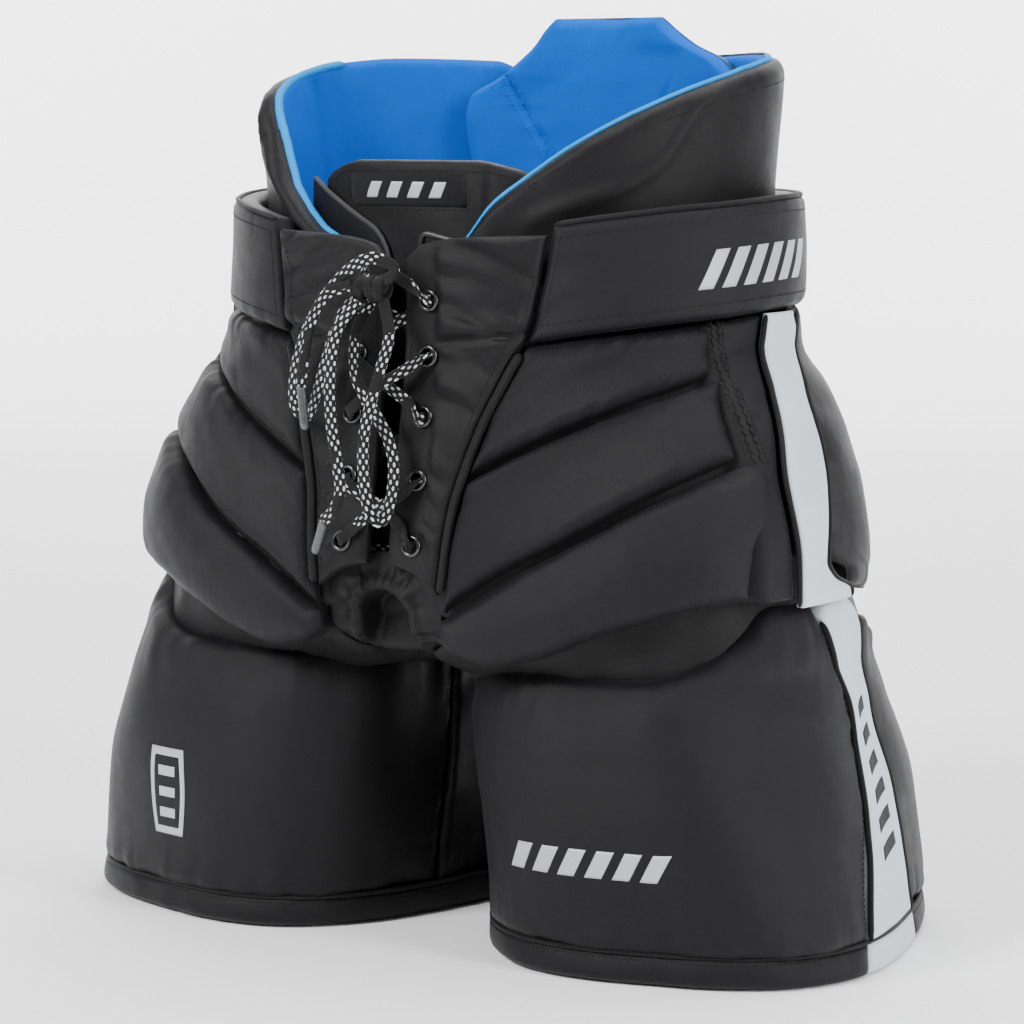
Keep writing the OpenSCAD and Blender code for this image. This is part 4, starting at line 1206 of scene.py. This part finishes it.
def make_spine():
    owner = ("spine_pad", "collar_liner")

    def skin(x, z):
        return pelvis_across(x, z, SPINE_D, 1)

    def place(u, v):
        z = mix(SPINE_LOW, SPINE_TOP, v)
        return mix(-SPINE_RIGHT(z), SPINE_LEFT(z), u), z

    def front(spot):
        """The right wing laps over the middle; the left one joins it at a plain seam."""
        away = -spot.p - SPINE_SEAM(spot.q)
        lap = 2.2 * smooth(away, -0.6, 0.8) * smooth(spot.q, 362, 352)
        lap_line = 1.8 * crease(away, -1.2, 1.3) * smooth(spot.q, 366, 354)
        plain_seam = 1.3 * crease(spot.p, 22 + 0.5 * (spot.q - 300), 1.6) * smooth(spot.q, 362, 345)
        return (8.6 + lap + 1.8 * puff(spot.edge, 10) - roll(spot.edge, 6, 5.4) - lap_line - plain_seam
                + rumple(spot, 36, 0.8, 411) + gathers(spot, 412, top=(7, 0.6, 7, 0))
                + pucker(spot.t, np.abs(away), 6, 0.6, 6, 413))

    shape = panel("spine_pad", owner, ["spine_cover", "spine_foam", "spine_liner"], 0.75, skin, place,
                  (110, 90), front, back(0.6, 5, 4.2), [BLUE, SOFT])
    inset, rim_v = 0.004, 0.99
    u = np.concatenate([np.full(60, inset), np.linspace(inset, 1 - inset, 90), np.full(60, 1 - inset)])
    v = np.concatenate([np.linspace(0.05, rim_v, 60), np.full(90, rim_v), np.linspace(rim_v, 0.05, 60)])
    rim = rounded_route(resampled(on_form(shape, u, v, -1.0), 5), 1.6)
    settle(Pile().tube(rim, 0.9).make("spine_piping", BLUE), *owner)
    z = np.linspace(303, 356, 90)
    u = (SPINE_RIGHT(z) - SPINE_SEAM(z) - 3.0) / (SPINE_RIGHT(z) + SPINE_LEFT(z))
    trim = Pile().stitches(on_form(shape, u, (z - SPINE_LOW) / (SPINE_TOP - SPINE_LOW), 0.02), radius=0.22)
    settle(trim.make("spine_stitching", BLUE), *owner)


# ---------------------------------------------------------------- floating kidney pads
KIDNEY_FRONT_A, KIDNEY_REAR_A = 17, 150
KIDNEY_REAR_TOP = [(90, 356), (104, 361), (118, 363), (143, 362), (150, 358)]
KIDNEY_TOP = {
    1: curve_through((17, 289), (24, 302), (34, 313.5), (45, 325.5), (60, 339.5), (75, 350.5), (90, 357.5),
                     *KIDNEY_REAR_TOP[1:]),
    -1: curve_through((17, 283), (30, 287), (38, 291), (53, 309), (60, 322), (67, 336), (75, 347),
                      *KIDNEY_REAR_TOP),
}
KIDNEY_LOW = curve_through((17, 280), (35, 272), (60, 266), (120, 266), (150, 278))
# The pad is thinner at its front tip
KIDNEY_FULL = curve_through((17, 0.5), (45, 1), (150, 1))
KIDNEY_RIDGE_Z = curve_through((17, 285), (40, 300), (55, 309.5), (65, 322), (70, 338), (76, 348), (90, 352))


def make_kidney(name, side):
    seed = 430 if side > 0 else 440
    body = f"{name}_kidney_pad"

    def place(u, v):
        a = mix(KIDNEY_FRONT_A, KIDNEY_REAR_A, u)
        return a, mix(KIDNEY_LOW(a), KIDNEY_TOP[side](a), v)

    def skin(a, z):
        return pelvis(a, z, COLLAR_D)

    def outer(spot):
        away = (spot.q - KIDNEY_RIDGE_Z(spot.p)) / 1.3
        ridge = 1.5 * crease(away, 0, 3.2) * smooth(spot.p, 30, 42) * smooth(spot.p, 84, 74)
        return (0.9 * puff(spot.edge, 9) - roll(spot.edge, 5.5, 5) + ridge + rumple(spot, 40, 0.9, seed)
                + gathers(spot, seed, top=(7, 0.7, 8, 1)))

    def inner(spot):
        fold = 1.6 * crease(spot.p, 93, 1.1) * smooth(spot.top, 1, 8)
        return (-10 * KIDNEY_FULL(spot.p) - 0.9 * puff(spot.edge, 9) + roll(spot.edge, 4, 3.4) + fold
                + rumple(spot, 34, 0.7, seed + 3) + gathers(spot, seed, top=(6, 0.5, 7, 4)))

    shape = panel("kidney_pad_" + name, (body, "soft_nylon"),
                  [f"kidney_cover_{name}", f"kidney_foam_{name}", f"kidney_liner_{name}"], 0.7, skin, place,
                  (150, 56), outer, inner, [SOFT, BLUE], side,
                  paint_under=lambda spot: np.where(spot.top < 0.5, 0, 1))
    # A painted highlight: a paler blue cord stands in for the light caught along the front edge and the top
    # rim; on the left pad the rim behind it is bound in black
    rim, front = 0.5 * (shape.top[:, -1] + shape.under[:, -1]), 0.5 * (shape.top[0] + shape.under[0])
    inward = unit(shape.under[:, -6] - shape.top[:, -6])
    end_a, shift, rise, radius = (112, 0.4, 0.5, 1.1) if side > 0 else (104, 3.0, -0.8, 1.9)
    last = int(np.searchsorted(mix(KIDNEY_FRONT_A, KIDNEY_REAR_A, shape.u), end_a))
    inwards = np.concatenate([np.repeat(inward[:1], len(front) - 7, 0), inward[:last]])
    line = np.concatenate([front[6:-1], rim[:last]]) + inwards * shift
    edge_tube = Pile().tube(resampled(line + [0, 0, rise], 1.8), radius)
    settle(edge_tube.make("kidney_rim_highlight_" + name, RIM_HIGHLIGHT_BLUE), body, "collar_liner")
    if side > 0:
        binding = Pile().tube(resampled(rim[last:-3] - 1.2 * inward[last:-3] + [0, 0, 0.2], 1.8), 1.0)
        settle(binding.make("kidney_binding_" + name, BINDING), body, "soft_nylon")
    sew("kidney_stitching_" + name, (body, "soft_nylon"), (shape, (0.02, 0.9), (0.97, 0.93), 260))


# ---------------------------------------------------------------- legs
INNER_EDGE_A = curve_through((0, -80), (118, -76))
STRIPE_FRONT_A = curve_through((0, 53), (50, 67), (105, 81), (136, 76), (150, 72))
STRIPE_REAR_A = curve_through((0, 93), (90, 103), (118, 110), (136, 107), (150, 104))
REAR_EDGE_A = 190
# How much fuller the padded thigh is than the plain leg, by height
FULLNESS = curve_through((0, 0.6), (13, 0.3), (60, 2.2), (85, 3.6), (105, 5.4), (122, 4.6), (138, 1.5),
                         (148, 0))
THIGH_TOP = curve_through((-80, 117), (12, 119), (34, 128), (46, 139), (53, 145), (60, 147), (72, 147),
                          (80, 140))
LEG_STRIPE_TOP = curve_through((0, 139), (0.12, 144), (0.35, 146), (0.7, 145), (0.9, 141), (1, 136))
REAR_TOP = curve_through((90, 136), (112, 134.5), (150, 116.5), (200, 115.5))
FOAM_LOW, FOAM_TOP, FOAM_INNER_A = 18, 114, -33
PANEL_LOW = HEM_H + 0.3


def make_thigh(name, side):
    seed = 500 if side > 0 else 560
    owner = (f"{name}_leg", "shell_nylon")

    def place(u, v):
        z = mix(PANEL_LOW, THIGH_TOP(mix(-76, 76, u)), v)
        return mix(INNER_EDGE_A(z) + 0.5, STRIPE_FRONT_A(z) - 0.6, u), z

    def outer(spot):
        box = 2.2 * puff(np.minimum(spot.left, spot.right), 16)
        return ((FULLNESS(spot.q) + box) * smooth(spot.p, -68, -40) - roll(spot.edge, 6, 3.4)
                - roll(spot.top, 18, 7.0) + rumple(spot, 62, 1.5, seed, 1.3)
                + 0.5 * rumple(spot, 24, 0.6, seed + 7, 1.8)
                + gathers(spot, seed, top=(8, 1.3, 13, 1), low=(7, 0.9, 9, 2), right=(8, 0.8, 7, 3),
                          left=(9, 1.1, 9, 4)))

    def inner(spot):
        return -3.0 + 0.6 * roll(spot.edge, 4, 1) - roll(spot.top, 18, 6.2)

    def foam_place(u, v):
        z = mix(FOAM_LOW, FOAM_TOP, v)
        return mix(FOAM_INNER_A, STRIPE_FRONT_A(z) - 4, u), z

    shape = panel("thigh_pad_" + name, owner, [f"thigh_cover_{name}"], 0.7, leg, place, (180, 104), outer,
                  inner, [SHELL, SOFT], side)
    sew("thigh_stitching_" + name, owner, (shape, (0.985, 0.03), (0.985, 0.93), 160),
        (shape, (0.02, 0.03), (0.02, 0.9), 160))
    panel("thigh_foam_" + name, (f"{name}_leg", "foam"), [f"thigh_foam_{name}"], 0.9, leg, foam_place,
          (50, 30), back(-6.6, 4, -2), back(-13.9, 4, 2), [FOAM], side)
    return shape


def make_leg_backs(name, side):
    seed = 600 if side > 0 else 640
    owner = (f"{name}_leg", "soft_nylon")

    def rear_place(u, v):
        z = mix(PANEL_LOW, REAR_TOP(mix(108, REAR_EDGE_A, u)), v)
        return mix(STRIPE_REAR_A(z) + 0.6, REAR_EDGE_A - 0.4, u), z

    def rear_outer(spot):
        return (1.6 * puff(spot.edge, 14) - roll(spot.edge, 5, 3.4) + rumple(spot, 48, 1.8, seed, 1.4)
                + gathers(spot, seed, top=(9, 1.4, 14, 1), low=(8, 1.0, 9, 2), left=(8, 0.9, 8, 3)))

    def inner_place(u, v):
        z = mix(PANEL_LOW, LEG_TOP, v)
        return mix(REAR_EDGE_A + 0.4, 360 + INNER_EDGE_A(z) - 0.6, u), z

    def inner_outer(spot):
        tuck = 1.7 * noise(spot.s / 30, spot.t / 11 + spot.s / 60, seed + 10)
        return (-0.4 - roll(spot.edge, 4, 2.4) + rumple(spot, 40, 1.6, seed + 11, 1.2)
                + tuck * smooth(spot.t, 40, 95)
                + gathers(spot, seed, right=(8, 1.2, 10, 12), low=(8, 0.9, 8, 13)))

    rear = panel("leg_rear_" + name, owner, [f"rear_panel_{name}"], 0.4, leg, rear_place, (96, 80),
                 rear_outer, back(-5.6, 4, 1), [SOFT, SOFT], side)
    inner = panel("leg_inner_" + name, owner, [f"inner_panel_{name}"], None, leg, inner_place, (110, 76),
                  inner_outer, back(-3.4, 3, 0.8), [SOFT, SOFT], side)
    sew("leg_stitching_" + name, owner, (inner, (0.985, 0.03), (0.985, 0.95), 160),
        (rear, (0.985, 0.03), (0.985, 0.95), 160))
    faces = thin_sheet(-15.3, -16.7, 30, 0.5, seed + 20)
    panel("leg_lining_" + name, (f"{name}_leg", "lining_mesh"), [f"leg_lining_{name}"], None, leg,
          lambda u, v: (360 * u, mix(2.5, LEG_TOP, v)), (150, 30), *faces, [LINING], side,
          closed=True, bunch=0.2)


def make_lower_stripe(name, side):
    seed = 660 if side > 0 else 670
    owner = (f"{name}_leg", "stripe_knit")

    def place(u, v):
        z = mix(PANEL_LOW, LEG_STRIPE_TOP(u), v)
        return mix(STRIPE_FRONT_A(z) + 0.5, STRIPE_REAR_A(z) - 0.5, u), z

    def outer(spot):
        return (mix(1.0, FULLNESS(spot.q) + 1.6, smooth(spot.left, 26, 0)) - roll(spot.edge, 2.4, 1.4)
                - roll(spot.top, 9, 3.5) + rumple(spot, 34, 0.7, seed))

    shape = panel("stripe_lower_" + name, owner, [f"lower_stripe_{name}"], None, leg, place, (40, 110), outer,
                  back(-10.6), [STRIPE, SOFT], side)
    edges = Pile()
    for u in (0.0, 1.0):
        edges.tube(resampled(seam_points(shape, (u, 0.0), (u, 0.985), 0.9, 140), 2), 1.35)
    settle(edges.make("leg_piping_" + name, BINDING), *owner)
    for k in range(6):
        def outline(s, t, low=0.20 + 0.082 * k):
            return mix(0.3, 0.72, s), low + 0.040 * t + 0.030 * s

        patch_on(shape, f"stripe_mark_{name}_{k + 1}", owner, outline, 0.35, BINDING, (14, 10))


def make_hem(name, side):
    seed = 680 if side > 0 else 690
    owner, nodes = (f"{name}_leg", "shell_nylon"), [f"hem_band_{name}"]

    def outer(spot):
        return (1.5 * puff(spot.edge, 3) - roll(spot.low, 4, 3.2) - roll(spot.top, 2.2, 1.2)
                + 0.35 * noise(spot.s / 9, spot.t / 9, seed) + rumple(spot, 60, 0.5, seed + 1)
                + gathers(spot, seed, top=(5, 0.5, 4, 2)))

    def inner(spot):
        return -15.2 + roll(spot.low, 5, 4)

    def between(front, rear, turns=0):
        def place(u, v):
            z = HEM_H * v
            return mix(front(z) + 0.1, turns + rear(z) - 0.1, u), z
        return place

    band = panel("hem_" + name, owner, nodes, None, leg, between(STRIPE_REAR_A, STRIPE_FRONT_A, 360),
                 (190, 14), outer, inner, [SHELL, SOFT], side, bunch=0.1)
    panel("hem_stripe_" + name, (f"{name}_leg", "stripe_knit"), nodes, None, leg,
          between(STRIPE_FRONT_A, STRIPE_REAR_A), (34, 14), outer, inner, [STRIPE, SOFT], side, bunch=0.3)
    sew("hem_stitching_" + name, owner, (band, (0.003, 0.84), (0.997, 0.84), 500, 2.6))
    a = np.linspace(0, 360, 240, endpoint=False)
    edge_tube = Pile().tube(raised(leg, a, np.full(240, HEM_H + 0.1), 0.2), 0.9, closed=True)
    settle(edge_tube.make("hem_piping_" + name, BINDING, side), *owner)


LEG_AXIS_X = 86.5
SLEEVE_LOW, SLEEVE_D = 104.0, -4.5
SLEEVE_HALF_X, SLEEVE_HALF_Y, SLEEVE_CENTRE_X = 147, 97, 9
SLEEVE_FRONT_Z, SLEEVE_REAR_Z = 123, 149


def make_groin_sleeve(name, side):
    """Soft cloth that joins the leg's rim to the hips and the gusset all round."""
    seed = 720 if side > 0 else 730
    count, rows = 150, 26
    angle = np.linspace(0, 2 * np.pi, count, endpoint=False)
    way = np.stack([np.sin(angle), -np.cos(angle)], 1)
    low = leg(np.degrees(angle), np.full(count, SLEEVE_LOW), SLEEVE_D)
    centre = np.array([LEG_AXIS_X, 0.0])
    # How far it is from the leg's axis to just inside the hips' padding, found by halving
    near, far = np.zeros(count), np.full(count, 260.0)
    for _ in range(40):
        middle = (near + far) / 2
        x, y = (centre + way * middle[:, None]).T
        squareness = np.where(y > 0, 2.1, 3.1)
        inside = (np.abs(x) / SLEEVE_HALF_X) ** squareness + (np.abs(y) / SLEEVE_HALF_Y) ** squareness < 1
        near, far = np.where(inside, middle, near), np.where(inside, far, middle)
    inwards = np.minimum(way[:, 0], -0.05)
    to_gusset = np.where(way[:, 0] < -0.05, (SLEEVE_CENTRE_X - LEG_AXIS_X) / inwards, 1e3)
    distance = (near ** -8.0 + to_gusset ** -8.0) ** (-1 / 8)
    flat = centre + way * distance[:, None]
    front_height = SLEEVE_FRONT_Z + 25 * smooth(flat[:, 0], 14, 52)
    height = mix(front_height, SLEEVE_REAR_Z, smooth(flat[:, 1], 5, 40)) + 18 * smooth(flat[:, 0], 122, 142)
    high = np.concatenate([flat, height[:, None]], 1)
    t = np.linspace(0, 1, rows)[:, None, None]
    rings = mix(low[None], high[None], t * t * (3 - 2 * t))
    rings[..., 2] = mix(low[None, :, 2], high[None, :, 2], t[..., 0])
    out = np.concatenate([way, np.zeros((count, 1))], 1)[None]
    arc = np.cumsum(np.linalg.norm(np.diff(low, axis=0, append=low[:1]), axis=1))
    fold = noise(arc[None] / 14, t[..., 0] * 2.2, seed) * 1.2 * np.sin(np.pi * t[..., 0])
    outer = rings + out * fold[..., None]
    loop = np.concatenate([outer, (outer - 1.6 * out)[::-1]], axis=0)
    pile = Pile()
    pile.rings(loop.transpose(1, 0, 2), np.linspace(0, 90, len(loop)), arc, closed=True)
    obj = pile.make("groin_sleeve_" + name, SOFT, side)
    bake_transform(obj)


# ---------------------------------------------------------------- plain printed marks
BADGE_U = 0.555


def make_badge(thigh):
    """A plate with a waisted outline, a dark field on it and three bars."""
    owner = ("right_leg", "shell_nylon")
    for name, width, low, top, lift, finish in (("badge_plate", 0.085, 0.20, 0.55, 0.35, SILVER),
                                                ("badge_field", 0.068, 0.228, 0.522, 0.55, BINDING)):
        def outline(s, t, width=width, low=low, top=top):
            waist = 0.72 + 0.28 * np.sin(np.pi * (0.15 + 0.7 * t))
            return BADGE_U + width * (s - 0.5) * waist, mix(low, top, t)

        patch_on(thigh, name, owner, outline, lift, finish, (20, 30))
    bars = [(BADGE_U, 0.29 + 0.085 * k, 0.021, 0.022, 0.0) for k in range(3)]
    slanted_bars(thigh, "badge_bar", owner, bars, 0.75)


def dress_frame_nodes():
    """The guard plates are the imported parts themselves, in moulded sheet."""
    for node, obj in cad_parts.items():
        if node.startswith(("hip_plate", "thigh_plate")):
            obj.data.materials.clear()
            obj.data.materials.append(PLATE)


def make_floor():
    """A sheet of paper that lies flat and rises behind the object in one wide curve."""
    flat, radius, top, half_width = 2.3, 1.8, 7.0, 9.0
    turn = np.linspace(0, math.pi / 2, 25)
    profile = [(-7.0, 0.0)] + [(flat + radius * math.sin(t), radius * (1 - math.cos(t))) for t in turn]
    profile.append((flat + radius, top))
    verts = [(along * AWAY + sideways * ACROSS + [0, 0, height]).tolist()
             for along, height in profile for sideways in (-half_width, half_width)]
    faces = [(2 * k, 2 * k + 1, 2 * k + 3, 2 * k + 2) for k in range(len(profile) - 1)]
    mesh = bpy.data.meshes.new("floor")
    mesh.from_pydata(verts, [], faces)
    mesh.polygons.foreach_set("use_smooth", np.ones(len(faces), bool))
    floor = bpy.data.objects.new("floor", mesh)
    scene.collection.objects.link(floor)
    m = Shader("floor_paper", 0.85, Specular_IOR_Level=0.1)
    mesh.materials.append(m.finish(m.blend(m.mottle(3, 2), (0.93, 0.935, 0.94), (0.95, 0.953, 0.957))))


# ---------------------------------------------------------------- the whole object
make_lacing()
belts, thighs = {}, {}
for label, hand in SIDES:
    belts[label] = make_belt(label, hand)
    make_facing(label, hand)
    make_hips(label, hand)
    make_upper_stripe(label, hand)
    make_seat(label, hand)
make_tailbone()
make_waist_lining()
make_gusset()
make_fly_backing()
make_strap()
make_buckle()
make_tongue()
make_spine()
for label, hand in SIDES:
    make_kidney(label, hand)
for label, hand in SIDES:
    thighs[label] = make_thigh(label, hand)
    make_leg_backs(label, hand)
    make_lower_stripe(label, hand)
    make_hem(label, hand)
    make_groin_sleeve(label, hand)
slanted_bars(thighs["left"], "thigh_bar", ("left_leg", "shell_nylon"),
             [(0.365 + 0.047 * k, 0.325, 0.0145, 0.052, 0.0115) for k in range(6)], 0.3)
make_badge(thighs["right"])
slanted_bars(belts["left"], "belt_bar", WAIST_SHELL,
             [(0.235 + 0.034 * k, 0.44, 0.0105, 0.17, 0.009) for k in range(6)], 0.35)
dress_frame_nodes()
make_floor()
